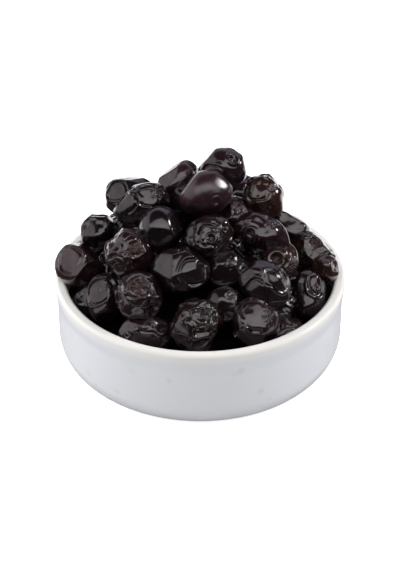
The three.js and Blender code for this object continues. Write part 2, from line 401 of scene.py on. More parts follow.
@dataclass(frozen=True)
class OliveSkin:
    """Oil-cured black olive: a thin wrinkled skin, nearly black, under a film of oil.

    A pair of ends is the range of a noise over which its patches fade in, and least is what
    stays outside them. Lines count the waves that a noise is folded into.
    """

    black: str = "0d090b"
    purple: str = "2a161f"
    brown: str = "281812"
    flesh: str = "2f1d1b"
    gleam: str = "f2e4ea"
    mottle_mm: float = 5.0
    mottle_ends: Pair = (0.38, 0.64)
    mottle_least: float = 0.5
    fold_mm: float = 13.0
    fold_lines: float = 22.0
    fold_patches: float = 0.75
    fold_ends: Pair = (0.4, 0.56)
    fold_least: float = 0.05
    crease_mm: float = 0.23
    crease_deep_mm: float = 0.24
    crease_softness: float = 0.02
    pleat_mm: float = 1.9
    pleat_lines: float = 15.0
    pleat_high_mm: float = 0.18
    pore_mm: float = 0.6
    pore_high_mm: float = 0.05
    pore_strength: float = 0.1
    probe_mm: float = 0.1
    roughness: float = 0.2
    ior: float = 1.45
    film_roughness: float = 0.05
    film_ior: float = 1.5
    torn_roughness: float = 0.5
    torn_film: float = 0.45

    def _colour_steps(self) -> list[Step]:
        """Nodes of the skin's colour, from black through purple and brown to bare flesh.

        Returns:
            The steps; the last one is the colour.
        """
        steps: list[Step] = [
            ("purple", "ShaderNodeAttribute", {"attribute_name": "purple"}, {}),
            ("brown", "ShaderNodeAttribute", {"attribute_name": "brown"}, {}),
            ("flesh", "ShaderNodeAttribute", {"attribute_name": "flesh"}, {}),
            (
                "mottle",
                "ShaderNodeTexNoise",
                {},
                {"Vector": "place:Object", "Scale": 1 / (self.mottle_mm * MM), "Detail": 3.0},
            ),
            (
                "patch",
                "ShaderNodeMapRange",
                {"interpolation_type": "SMOOTHSTEP"},
                {
                    "Value": "mottle:Fac",
                    "From Min": self.mottle_ends[0],
                    "From Max": self.mottle_ends[1],
                    "To Min": self.mottle_least,
                },
            ),
            ("purple_here", "ShaderNodeMath:MULTIPLY", {}, ("purple:Fac", "patch:Result")),
            ("brown_here", "ShaderNodeMath:MULTIPLY", {}, ("brown:Fac", "patch:Result")),
        ]
        last = linear(self.black)
        for name, amount, colour in (
            ("ripe", "purple_here", self.purple),
            ("worn", "brown_here", self.brown),
            ("bare", "flesh:Fac", self.flesh),
        ):
            tones = {0: amount, 6: last, 7: linear(colour)}
            steps.append((name, "ShaderNodeMix", {"data_type": "RGBA"}, tones))
            last = name
        return steps

    def _crease_steps(self) -> list[Step]:
        """Nodes of the fine creases: thin grooves of even width that curl round each other.

        Returns:
            The steps; the last one is the creased skin's normal.
        """
        flow = {"Scale": 1 / (self.fold_mm * MM), "Detail": 0.6, "Distortion": 0.7}
        steps: list[Step] = [
            ("folds", "ShaderNodeAttribute", {"attribute_name": "folds"}, {}),
            ("flow", "ShaderNodeTexNoise", {}, {"Vector": "place:Object"} | flow),
        ]
        # The same field a little way off along each axis tells how far apart its lines lie.
        for i, axis in enumerate("xyz"):
            off = tuple(self.probe_mm * MM if k == i else 0.0 for k in range(3))
            steps += [
                (f"off_{axis}", "ShaderNodeVectorMath:ADD", {}, ("place:Object", off)),
                (f"flow_{axis}", "ShaderNodeTexNoise", {}, {"Vector": f"off_{axis}"} | flow),
            ]
        steps += [
            (
                "flows",
                "ShaderNodeCombineXYZ",
                {},
                {"X": "flow_x:Fac", "Y": "flow_y:Fac", "Z": "flow_z:Fac"},
            ),
            ("climb", "ShaderNodeVectorMath:SUBTRACT", {}, ("flows", "flow:Fac")),
            ("steep", "ShaderNodeVectorMath:LENGTH", {}, ("climb",)),
            ("lines", "ShaderNodeMath:MULTIPLY", {}, ("flow:Fac", self.fold_lines)),
            ("wave", "ShaderNodeMath:SINE", {}, ("lines",)),
            ("swing", "ShaderNodeMath:ABSOLUTE", {}, ("wave",)),
            (
                "across",
                "ShaderNodeMath:MULTIPLY_ADD",
                {},
                (
                    "steep:Value",
                    self.fold_lines * self.crease_mm / self.probe_mm,
                    self.crease_softness,
                ),
            ),
            ("off_line", "ShaderNodeMath:DIVIDE", {}, ("swing", "across")),
            ("off_square", "ShaderNodeMath:MULTIPLY", {}, ("off_line", "off_line")),
            ("off_less", "ShaderNodeMath:MULTIPLY", {}, ("off_square", -1.0)),
            ("groove", "ShaderNodeMath:EXPONENT", {}, ("off_less",)),
            (
                "where",
                "ShaderNodeTexNoise",
                {},
                {
                    "Vector": "place:Object",
                    "Scale": self.fold_patches / (self.fold_mm * MM),
                    "Detail": 1.0,
                },
            ),
            (
                "patchy",
                "ShaderNodeMapRange",
                {"interpolation_type": "SMOOTHSTEP"},
                {
                    "Value": "where:Fac",
                    "From Min": self.fold_ends[0],
                    "From Max": self.fold_ends[1],
                    "To Min": self.fold_least,
                },
            ),
            ("groove_here", "ShaderNodeMath:MULTIPLY", {}, ("groove", "patchy:Result")),
            ("groove_own", "ShaderNodeMath:MULTIPLY", {}, ("groove_here", "folds:Fac")),
            ("groove_low", "ShaderNodeMath:MULTIPLY", {}, ("groove_own", -1.0)),
            (
                "creased",
                "ShaderNodeBump",
                {},
                {
                    "Height": "groove_low",
                    "Distance": self.crease_deep_mm * MM,
                    "Normal": "grain",
                },
            ),
        ]
        return steps

    def _pleat_steps(self) -> list[Step]:
        """Nodes of the crumples: small sharp pleats that break the light into sparks.

        Returns:
            The steps; the last one is the whole skin's normal.
        """
        return [
            ("pleats", "ShaderNodeAttribute", {"attribute_name": "pleats"}, {}),
            (
                "pleat",
                "ShaderNodeTexNoise",
                {},
                {
                    "Vector": "place:Object",
                    "Scale": 1 / (self.pleat_mm * MM),
                    "Detail": 1.0,
                    "Distortion": 0.4,
                },
            ),
            ("pleat_turn", "ShaderNodeMath:MULTIPLY", {}, ("pleat:Fac", self.pleat_lines)),
            ("pleat_wave", "ShaderNodeMath:SINE", {}, ("pleat_turn",)),
            ("pleat_here", "ShaderNodeMath:MULTIPLY", {}, ("pleat_wave", "pleats:Fac")),
            (
                "pleated",
                "ShaderNodeBump",
                {},
                {
                    "Height": "pleat_here",
                    "Distance": self.pleat_high_mm * MM,
                    "Normal": "creased",
                },
            ),
        ]

    def material(self) -> bpy.types.Material:
        """Build the skin; it reads what each olive's mesh carries.

        Returns:
            The material.
        """
        steps: list[Step] = [("place", "ShaderNodeTexCoord", {}, {})]
        steps += self._colour_steps()
        steps += [
            (
                "pore",
                "ShaderNodeTexNoise",
                {},
                {"Vector": "place:Object", "Scale": 1 / (self.pore_mm * MM), "Detail": 2.0},
            ),
            (
                "grain",
                "ShaderNodeBump",
                {},
                {
                    "Height": "pore:Fac",
                    "Strength": self.pore_strength,
                    "Distance": self.pore_high_mm * MM,
                },
            ),
        ]
        steps += self._crease_steps()
        steps += self._pleat_steps()
        steps += [
            # Torn flesh soaks the oil up, so it shines less than the skin round it.
            (
                "dry",
                "ShaderNodeMapRange",
                {},
                {"Value": "flesh:Fac", "To Min": self.roughness, "To Max": self.torn_roughness},
            ),
            (
                "oily",
                "ShaderNodeMapRange",
                {},
                {"Value": "flesh:Fac", "To Min": 1.0, "To Max": self.torn_film},
            ),
            # The taut skin shines softly; the oil on it adds sharp, mirror-like lights.
            (
                "skin",
                "ShaderNodeBsdfPrincipled",
                {},
                {
                    "Base Color": "bare",
                    "Roughness": "dry:Result",
                    "IOR": self.ior,
                    "Specular Tint": linear(self.gleam),
                    "Coat Weight": "oily:Result",
                    "Coat Roughness": self.film_roughness,
                    "Coat IOR": self.film_ior,
                    "Normal": "pleated",
                    "Coat Normal": "pleated",
                },
            ),
        ]
        return new_material("oiled_olive_skin", steps)


@dataclass(frozen=True)
class BuriedOlivesInPaintedShade:
    """What lies deep between the olives: more skins, wet with oil, in painted shade."""

    shade: str = "060404"
    lump_mm: float = 11.1
    lump_high_mm: float = 2.0
    lump_strength: float = 0.5
    roughness: float = 0.8
    gloss: float = 0.05

    def material(self) -> bpy.types.Material:
        """Build the dark ground of the heap.

        Returns:
            The material.
        """
        steps: list[Step] = [
            ("place", "ShaderNodeTexCoord", {}, {}),
            (
                "lump",
                "ShaderNodeTexNoise",
                {},
                {"Vector": "place:Object", "Scale": 1 / (self.lump_mm * MM)},
            ),
            (
                "relief",
                "ShaderNodeBump",
                {},
                {
                    "Height": "lump:Fac",
                    "Strength": self.lump_strength,
                    "Distance": self.lump_high_mm * MM,
                },
            ),
            (
                "ground",
                "ShaderNodeBsdfPrincipled",
                {},
                {
                    # Painted shade: the near-black colour and the weak gloss stand in for the shade
                    # deep between the olives.
                    "Base Color": linear(self.shade),
                    "Roughness": self.roughness,
                    "Specular IOR Level": self.gloss,
                    "Normal": "relief",
                },
            ),
        ]
        return new_material("buried_olive_painted_shade", steps)


@dataclass(frozen=True)
class PaleFloor:
    """White paper under the dish, with painted light: a glow that only the camera sees, and painted
    shade on its front that only gloss sees.
    """

    paper: str = "ececec"
    # Painted light: strength of a glow that only the camera sees.
    glow: float = 0.8
    # Painted shade on the floor's front, seen only in reflections.
    gloss_only_shade: str = "282828"
    gloss_shade_edge: float = 0.03
    gloss_shade_fade: float = 0.1
    roughness: float = 0.9
    gloss: float = 0.1

    def material(self) -> bpy.types.Material:
        """Build the paper.

        Returns:
            The material.
        """
        steps: list[Step] = [
            ("place", "ShaderNodeTexCoord", {}, {}),
            ("across", "ShaderNodeSeparateXYZ", {}, {0: "place:Object"}),
            # Painted shade: the floor's front turns dark for glossy rays only, so the olives and
            # the glaze mirror a dark floor there.
            (
                "front",
                "ShaderNodeMapRange",
                {"interpolation_type": "SMOOTHSTEP"},
                {
                    "Value": "across:Y",
                    "From Min": self.gloss_shade_edge + self.gloss_shade_fade,
                    "From Max": self.gloss_shade_edge,
                },
            ),
            ("ray", "ShaderNodeLightPath", {}, {}),
            ("shaded", "ShaderNodeMath:MULTIPLY", {}, ("front:Result", "ray:Is Glossy Ray")),
            (
                "tone",
                "ShaderNodeMix",
                {"data_type": "RGBA"},
                {0: "shaded", 6: linear(self.paper), 7: linear(self.gloss_only_shade)},
            ),
            # Painted light: the paper glows for camera rays only, which lifts it and the dish's
            # shadow on it towards white.
            ("lit", "ShaderNodeMath:MULTIPLY", {}, ("ray:Is Camera Ray", self.glow)),
            (
                "paper",
                "ShaderNodeBsdfPrincipled",
                {},
                {
                    "Base Color": "tone",
                    "Roughness": self.roughness,
                    "Specular IOR Level": self.gloss,
                    "Emission Color": linear("ffffff"),
                    "Emission Strength": "lit",
                },
            ),
        ]
        return new_material("matte_studio_paper", steps)


# --------------------------------------------------------------------------------------
# The dish
# --------------------------------------------------------------------------------------


@dataclass
class ServingDish:
    """Straight-sided round dish with a soft lip and a shallow foot ring. Sizes in mm.

    Shares are of the length that they are named for, and steps count the faces of a bend.
    """

    radius: float = 60.0
    height: float = 38.6
    wall_radius: float = 59.3
    rim_thickness: float = 4.6
    lip_drop: float = 8.5
    rim_round: float = 1.6
    corner_radius: float = 12.5
    floor_thickness: float = 4.4
    foot_radius: float = 46.8
    foot_width: float = 4.0
    foot_recess: float = 1.2
    foot_round: float = 0.5
    foot_slope: float = 1.6
    foot_tuck: float = 0.2
    recess_edge: float = 3.0
    recess_ring_share: float = 0.5
    inner_corner: float = 9.0
    swell_share: float = 0.8
    floor_ring_share: float = 0.4
    foot_steps: int = 3
    corner_steps: int = 24
    lip_steps: int = 12
    rim_steps: int = 8
    wall_steps: int = 4
    inner_steps: int = 14
    segments: int = 256
    finish: WhiteGlaze = field(default_factory=WhiteGlaze)

    def inner_radius(self) -> float:
        """Radius of the wall inside."""
        return self.radius - self.rim_thickness

    def floor_height(self) -> float:
        """Height of the floor inside."""
        return self.foot_recess + self.floor_thickness

    def section(self) -> list[Pair]:
        """Half section from the underside's centre, up the outside and back to the floor's.

        Returns:
            Points (r, z) in millimetres.
        """
        foot_in = self.foot_radius - self.foot_width
        edge_round = self.foot_round
        points = [(0.0, self.foot_recess)]
        for r in (foot_in * self.recess_ring_share, foot_in - self.recess_edge):
            points.append((r, self.foot_recess))
        points += bend(
            foot_in - self.foot_slope,
            self.foot_recess - edge_round,
            edge_round,
            90,
            30,
            self.foot_steps,
        )
        points += bend(
            foot_in + self.foot_tuck, edge_round, edge_round, 210, 270, self.foot_steps
        )
        corner = self.corner_radius
        points += bend(self.wall_radius - corner, corner, corner, -90, 0, self.corner_steps)
        lip_start = self.height - self.rim_round - self.lip_drop
        swell = self.radius - self.wall_radius
        points.append((self.wall_radius, (self.corner_radius + lip_start) / 2))
        for i in range(self.lip_steps + 1):
            s = i / self.lip_steps
            out = self.wall_radius + swell * s * s * (3 - 2 * s)
            points.append((out, lip_start + self.lip_drop * self.swell_share * s))
        edge = self.height - self.rim_round
        outer = self.radius - self.rim_round
        points += bend(outer, edge, self.rim_round, 0, 90, self.rim_steps)
        inner = self.inner_radius()
        points += bend(inner + self.rim_round, edge, self.rim_round, 90, 180, self.rim_steps)
        floor = self.floor_height()
        low = floor + self.inner_corner
        steps = self.wall_steps
        points += [(inner, edge - (edge - low) * i / steps) for i in range(1, steps)]
        hollow = inner - self.inner_corner
        points += bend(hollow, low, self.inner_corner, 0, -90, self.inner_steps)
        points += [(inner * self.floor_ring_share, floor), (0.0, floor)]
        return points

    def build(self) -> bpy.types.Object:
        """Make the dish and put it in place of its plain solid.

        Returns:
            The dish.
        """
        points, faces = turned(self.section(), self.segments)
        piece = new_mesh_object("glazed_dish", points, faces)
        piece.data.materials.append(self.finish.material())
        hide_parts("dish")
        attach(piece, "root")
        return piece


# --------------------------------------------------------------------------------------
# The olives
# --------------------------------------------------------------------------------------


SERVING_LIFT = 34.0
"""Degrees above the table from which the serving side is looked at."""

SWELL = 1.03
"""How much fuller an olive is than its plain oval, before its flats are measured."""

SKIN_SIZES: dict[str, float | tuple[float, float, float]] = {
    "Flat sway": 3.2 * MM,
    "Swell height": 3.6 * MM,
    "Facet depth": 2.6 * MM,
    "Fold lines": 11.0,
    "Fold depth": 0.35 * MM,
    "Fine height": 0.16 * MM,
    "Ring height": 0.42 * MM,
    "Hole depth": 1.3 * MM,
    "Tear depth": 0.9 * MM,
    "Pleat height": 0.14 * MM,
    "Furrow width": 0.42 * MM,
    "Furrow depth": 0.7 * MM,
    "Drift": (5.0, 5.0, 5.0),
}
"""Sizes of the relief that shrinking leaves in an olive's skin."""


def seen_from_front(clock: float, tilt: float) -> Vector:
    """Direction on an olive, given as one sees it from the serving side.

    Args:
        clock: Degrees counted anticlockwise from the right.
        tilt: Degrees away from straight towards the viewer.

    Returns:
        The unit direction in the dish's own frame.
    """
    lift = math.radians(SERVING_LIFT)
    right = Vector((1, 0, 0))
    up = Vector((0, math.sin(lift), math.cos(lift)))
    near = Vector((0, -math.cos(lift), math.sin(lift)))
    c, t = math.radians(clock), math.radians(tilt)
    return (right * math.cos(c) + up * math.sin(c)) * math.sin(t) + near * math.cos(t)


class Shrinkage(NamedTuple):
    """What drying does to an olive.

    Softness of its edges in mm, then how marked its facets, folds and scars are, 0 to 1, and
    how much fuller its corners are than an oval's.
    """

    softness: float
    facets: float
    folds: float
    scars: float
    fullness: float


class Build(Enum):
    """Kinds of olive, from full to dried out."""

    PLUMP = Shrinkage(2.2, 0.05, 0.0, 0.5, 1.04)
    SLEEK = Shrinkage(1.3, 0.12, 0.12, 1.0, 1.08)
    SMOOTH = Shrinkage(1.6, 0.2, 0.3, 1.0, 1.08)
    FIRM = Shrinkage(1.2, 0.32, 0.5, 1.0, 1.09)
    CREASED = Shrinkage(1.0, 0.46, 0.8, 1.0, 1.08)
    SHRIVELLED = Shrinkage(0.8, 0.66, 0.85, 1.0, 1.08)


@dataclass
class Olive:
    """One olive. Sizes in mm, angles in degrees.

    A spot is a place on the skin, given by its clock angle and its tilt as seen from the
    serving side, and by a size: the depth of a flat, or the radius of a scar, tear, crumple or
    curved furrow round it.
    """

    at: tuple[float, float, float]
    half: tuple[float, float]
    turn: float
    lift: float
    build: Build = Build.FIRM
    purple: float = 0.1
    brown: float = 0.1
    flats: tuple[Spot, ...] = ()
    stem: Spot | None = None
    torn: Spot | None = None
    crumple: Spot | None = None
    furrows: tuple[Spot, ...] = ()
    draw: float = 0.0

    def axis(self) -> Vector:
        """Find the direction of the long axis.

        Returns:
            The unit direction.
        """
        turn, lift = math.radians(self.turn), math.radians(self.lift)
        level = math.cos(lift)
        return Vector((level * math.cos(turn), level * math.sin(turn), math.sin(lift)))

    def frame(self) -> Matrix:
        """Find the turn that brings an upright olive into its place.

        Returns:
            The turn.
        """
        turn = math.radians(self.turn)
        axis = self.axis()
        side = Vector((-math.sin(turn), math.cos(turn), 0))
        return Matrix((side, axis.cross(side), axis)).transposed()

    def reach(self, direction: Vector) -> float:
        """Measure from the centre to the skin.

        Args:
            direction: Unit direction to measure along.

        Returns:
            The distance in millimetres.
        """
        along = self.axis().dot(direction)
        length, width = self.half
        return 1 / math.sqrt((along / length) ** 2 + (1 - along * along) / width**2)

    def support(self, direction: Vector) -> float:
        """Measure how far the olive extends one way.

        Args:
            direction: Unit direction to measure along.

        Returns:
            The distance from the centre to its furthest point that way, in millimetres.
        """
        along = self.axis().dot(direction)
        length, width = self.half
        return math.sqrt(width**2 + (length**2 - width**2) * along * along)


FRONT: dict[str, Olive] = {
    "crown_left": Olive(
        (-9.5, 22, 68.6), (10, 7), 24, 31, Build.SLEEK, 1.0, 0.4,
        ((128, 78, 1.5), (148, 44, 1.2), (50, 65, 0.5), (255, 40, 0.5), (10, 70, 0.3)),
        crumple=(20, 45, 2.6),
    ),
    "crown_top": Olive(
        (9.5, 18.5, 76.6), (9.6, 8.9), 20, 10, Build.SLEEK, 0.5, 0.1,
        ((139, 82, 1.2), (92, 82, 0.5), (196, 30, 0.8), (280, 40, 0.8), (60, 55, 0.4)),
        stem=(44, 33, 3.0), furrows=((215, 36, 4.6),),
    ),
    "crown_plum": Olive(
        (2.5, 3, 74.6), (11.3, 9.2), 15, 21, Build.PLUMP, 1.0, 0.0,
        (
            (143, 84, 2.0), (45, 84, 1.9), (0, 85, 0.5), (95, 82, 0.6), (37, 40, 0.5),
            (262, 60, 0.4),
        ),
        stem=(314, 38, 2.6),
    ),
    "crown_right": Olive(
        (26, 10.5, 67.2), (10.4, 8.2), 85, 50, Build.CREASED, 0.3, 1.0,
        (
            (97, 80, 1.0), (40, 78, 1.4), (0, 84, 0.4), (182, 84, 0.9), (88, 22, 0.6),
            (300, 34, 1.0), (275, 75, 1.4), (245, 34, 0.8),
        ),
        furrows=((136, 36, 5.2),),
    ),
    "shoulder_back": Olive(
        (-29, 18, 63.5), (10.8, 8.5), 5, 0, Build.SLEEK, 0.2, 0.0,
        ((180, 80, 1.1), (92, 78, 0.9), (150, 33, 2.1), (215, 50, 0.5), (40, 60, 0.6)),
        furrows=((160, 42, 4.4),),
    ),
    "shoulder_front": Olive(
        (-23.7, 5, 67.9), (11, 8.4), 12, 17, Build.SLEEK, 0.2, 0.0,
        (
            (156, 34, 1.1), (140, 80, 2.0), (98, 78, 0.9), (66, 18, 0.6), (245, 26, 1.2),
            (25, 70, 0.2),
        ),
        crumple=(30, 50, 2.5), furrows=((60, 30, 5.0), (170, 40, 4.5)),
    ),
    "left_small": Olive(
        (-42.5, 13, 50.5), (8.2, 7.2), 30, 0, Build.FIRM, 0.15, 0.2,
        (
            (140, 80, 1.1), (92, 80, 1.2), (185, 84, 1.4), (0, 80, 0.5), (150, 28, 1.5),
            (75, 14, 1.0), (250, 50, 0.8),
        ),
        crumple=(30, 45, 2.0),
    ),
    "left_flat_end": Olive(
        (-49.6, -4, 44.3), (10.2, 9.2), -60, 30, Build.SLEEK, 0.9, 0.45,
        ((150, 31, 3.0), (317, 52, 2.2), (92, 82, 1.2), (48, 80, 2.6)),
        furrows=((152, 33, 4.8),),
    ),
    "left_torn": Olive(
        (-28.6, -16, 57.5), (10.2, 9.4), 60, 10, Build.FIRM, 0.5, 0.3,
        (
            (137, 78, 1.2), (180, 78, 0.8), (215, 78, 1.2), (150, 33, 0.9), (232, 36, 0.9),
            (312, 44, 1.5), (40, 60, 0.5),
        ),
        torn=(10, 20, 3.6), furrows=((150, 55, 5.2), (225, 40, 3.4)),
    ),
    "left_smooth": Olive(
        (-16, -8, 64), (9.2, 8.6), 80, 40, Build.PLUMP, 0.1, 0.0,
        ((60, 62, 0.6), (262, 26, 1.2), (22, 54, 0.7), (84, 20, 0.35)),
    ),
    "behind_plum": Olive((-6, 11, 64.5), (7.8, 7), 80, 60, Build.FIRM),
    "centre_swirl": Olive(
        (3.7, -13, 63.4), (9.4, 8.1), 20, 5, Build.CREASED, 0.1, 0.3,
        ((158, 34, 1.2), (80, 16, 1.4), (255, 44, 0.9), (10, 45, 0.9), (320, 50, 0.8)),
        stem=(330, 8, 2.3), crumple=(48, 32, 2.6), furrows=((330, 10, 4.6),),
    ),
    "under_plum": Olive(
        (14, 5, 62), (8.2, 7.2), 70, 60, Build.CREASED, 1.0, 0.0,
        ((70, 30, 0.8), (150, 35, 0.7)),
        crumple=(60, 30, 3.0),
    ),
    "right_long": Olive(
        (25.2, -6, 61), (12, 7.2), -12, -18, Build.SMOOTH, 0.5, 0.1,
        (
            (178, 32, 1.3), (80, 18, 0.9), (60, 62, 0.8), (290, 40, 0.9), (20, 45, 0.9),
            (120, 60, 0.5),
        ),
        stem=(186, 42, 3.0), crumple=(50, 45, 2.6),
    ),
    "right_shard": Olive(
        (37.6, 12, 52.6), (8.6, 5.6), -19, -26, Build.SMOOTH, 0.2, 0.1,
        ((62, 80, 0.9), (90, 13, 1.7), (228, 62, 1.4), (340, 70, 0.9)),
    ),
    "right_dent": Olive(
        (46.4, 4.5, 45.4), (9.7, 7.2), -30, -15, Build.FIRM, 0.1, 0.5,
        (
            (44, 80, 1.8), (78, 13, 1.9), (155, 32, 1.0), (330, 48, 1.0), (75, 60, 0.4),
            (225, 40, 0.7),
        ),
        torn=(66, 42, 2.7), crumple=(190, 40, 2.0),
    ),
    "right_edge": Olive(
        (50.9, -4, 42), (7.2, 5.7), -90, 60, Build.FIRM, 0.3, 1.0,
        ((180, 35, 0.7), (90, 50, 0.4), (10, 60, 0.5)),
    ),
    "right_stem_hole": Olive(
        (32.3, -11, 51.3), (9, 7.1), -98, 20, Build.FIRM, 0.3, 0.8,
        ((80, 13, 1.3), (20, 50, 0.8), (100, 55, 0.6), (260, 50, 0.6)),
        stem=(175, 12, 3.7), torn=(175, 12, 2.0), crumple=(350, 44, 3.0),
    ),
    "middle_ridge": Olive(
        (-7.7, -25, 55.2), (11, 9.2), 0, 0, Build.SLEEK, 0.2, 0.0,
        (
            (155, 36, 1.5), (80, 18, 1.2), (48, 76, 1.3), (300, 32, 1.2), (215, 60, 1.2),
            (100, 70, 0.9), (10, 55, 0.8),
        ),
        furrows=((6, 34, 5.2),),
    ),
    "middle_dark": Olive(
        (10, -19, 51.5), (9, 7.8), 0, 20, Build.SLEEK, 0.2, 0.1,
        ((100, 36, 0.7), (265, 14, 1.6), (160, 50, 0.8), (20, 40, 0.6)),
        crumple=(50, 30, 2.6),
    ),
    "right_mirror": Olive(
        (26, -27, 50), (10.8, 8.4), -21, -28, Build.SLEEK, 0.3, 0.0,
        (
            (155, 24, 1.5), (226, 20, 1.0), (95, 52, 0.9), (325, 38, 1.3),
            (130, 75, 0.8), (290, 70, 0.8),
        ),
        crumple=(30, 56, 2.0), furrows=((240, 50, 5.6), (20, 35, 4.6)),
    ),
    "right_tall": Olive(
        (44.2, -17, 37.8), (10.6, 6.3), 90, 56, Build.SLEEK, 0.4, 0.1,
        (
            (140, 20, 1.4), (92, 52, 1.0), (5, 42, 0.9), (50, 16, 0.8), (268, 64, 0.8),
            (180, 80, 0.4),
        ),
        crumple=(40, 38, 2.4), furrows=((60, 50, 3.6),),
    ),
    "front_torn_top": Olive(
        (-24, -33, 48.4), (9.3, 8.8), 90, 60, Build.FIRM, 0.4, 0.15,
        (
            (222, 36, 1.0), (190, 62, 0.8), (268, 40, 0.9), (318, 48, 1.0), (120, 60, 0.6),
            (30, 60, 0.6),
        ),
        torn=(82, 27, 3.7), crumple=(10, 42, 3.6), furrows=((82, 27, 5.0), (250, 70, 7.0)),
    ),
    "left_tall": Olive(
        (-38.6, -22.3, 40.4), (9.9, 7.1), 90, 56, Build.SMOOTH, 0.45, 0.0,
        (
            (158, 29, 2.2), (190, 60, 0.8), (45, 45, 0.8), (282, 56, 0.9), (100, 75, 0.7),
            (350, 40, 0.7),
        ),
        crumple=(60, 42, 2.2), furrows=((110, 40, 5.0),),
    ),
    "left_low": Olive(
        (-44.8, -13, 32.5), (8, 6.4), 60, 20, Build.FIRM, 0.1, 0.2, ((140, 30, 0.8),)
    ),
    "front_low": Olive(
        (-21, -38.6, 33.4), (11, 8.2), 5, 0, Build.SMOOTH, 0.5, 0.1,
        ((160, 46, 0.8), (50, 46, 0.7), (268, 22, 2.3), (305, 50, 0.8)),
        furrows=((280, 24, 6.4),),
    ),
    "front_wrinkled": Olive(
        (-1.5, -42.4, 41.2), (9.9, 9.3), 60, 50, Build.SHRIVELLED, 0.1, 0.3,
        (
            (185, 50, 1.2), (60, 22, 1.5), (330, 16, 1.2), (100, 60, 0.8), (290, 50, 0.9),
            (130, 75, 0.6),
        ),
        crumple=(60, 40, 3.0), furrows=((70, 28, 3.6), (300, 40, 4.4)),
    ),
    "front_gap": Olive(
        (9.7, -33, 44.2), (7.8, 7.2), 20, 0, Build.SMOOTH, 0.1, 0.2,
        ((140, 34, 0.4), (62, 30, 0.4), (270, 16, 1.3), (200, 50, 0.7)),
        crumple=(60, 40, 2.4),
    ),
    "front_sparkle": Olive(
        (21.5, -39, 39.8), (9.5, 9.3), 0, 0, Build.SLEEK, 0.5, 0.0,
        (
            (108, 21, 1.3), (52, 20, 1.2), (268, 34, 1.2), (355, 52, 1.0), (180, 70, 0.7),
            (60, 75, 0.5),
        ),
        stem=(212, 62, 1.9), crumple=(28, 40, 2.8), furrows=((92, 36, 5.6),),
    ),
    "front_corner": Olive(
        (34, -31, 28.5), (8.6, 7.4), 40, 0, Build.CREASED, 0.0, 0.6, crumple=(80, 40, 4.0)
    ),
}
"""The olives of the serving side: centre, half length and width, turn, lift, build, how
purple and how brown each is, then its flats and its marks."""


@dataclass(frozen=True)
class SkinRelief:
    """How the marks in an olive's skin run, beside the sizes that the tree takes.

    A scale counts a pattern's repeats in a mm, and waves count the lines that a noise is folded
    into. A pair of ends is where a fade starts and stops. Places and widths round a spot are in
    the spot's radii, those across a furrow in the furrow's widths, and heights are shares of
    the tree's sizes.
    """

    own_shift: tuple[float, float, float] = (173.0, 311.0, 477.0)
    sway_scale: float = 0.16
    drift_scale: float = 0.14
    facet_scale: float = 0.15
    facet_softness: float = 0.3
    facet_level: float = 0.3
    flow_scale: float = 0.1
    crease_sharpness: float = 1.7
    patch_scale: float = 0.1
    patch_ends: Pair = (0.44, 0.6)
    patch_least: float = 0.1
    fine_scale: float = 0.55
    bend_scale: float = 0.13
    bend_reach: float = 1.3
    furrow_ends: Pair = (0.36, 0.46)
    lip_place: float = 2.0
    lip_narrowness: float = 0.7
    lip_height: float = 0.6
    hole_ends: Pair = (0.3, 0.6)
    hole_flesh: float = 0.3
    ring_place: float = 0.85
    ring_width: float = 0.2
    ripple_waves: float = 8.5
    ripple_ends: Pair = (1.1, 2.0)
    ripple_height: float = 0.22
    tear_raggedness: float = 1.6
    tear_ends: Pair = (0.85, 1.05)
    fibre_scale: float = 0.3
    fibre_waves: float = 26.0
    fibre_height: float = 0.5
    crumple_ends: Pair = (0.5, 1.2)
    pleat_scale: float = 0.42
    pleat_waves: float = 16.0


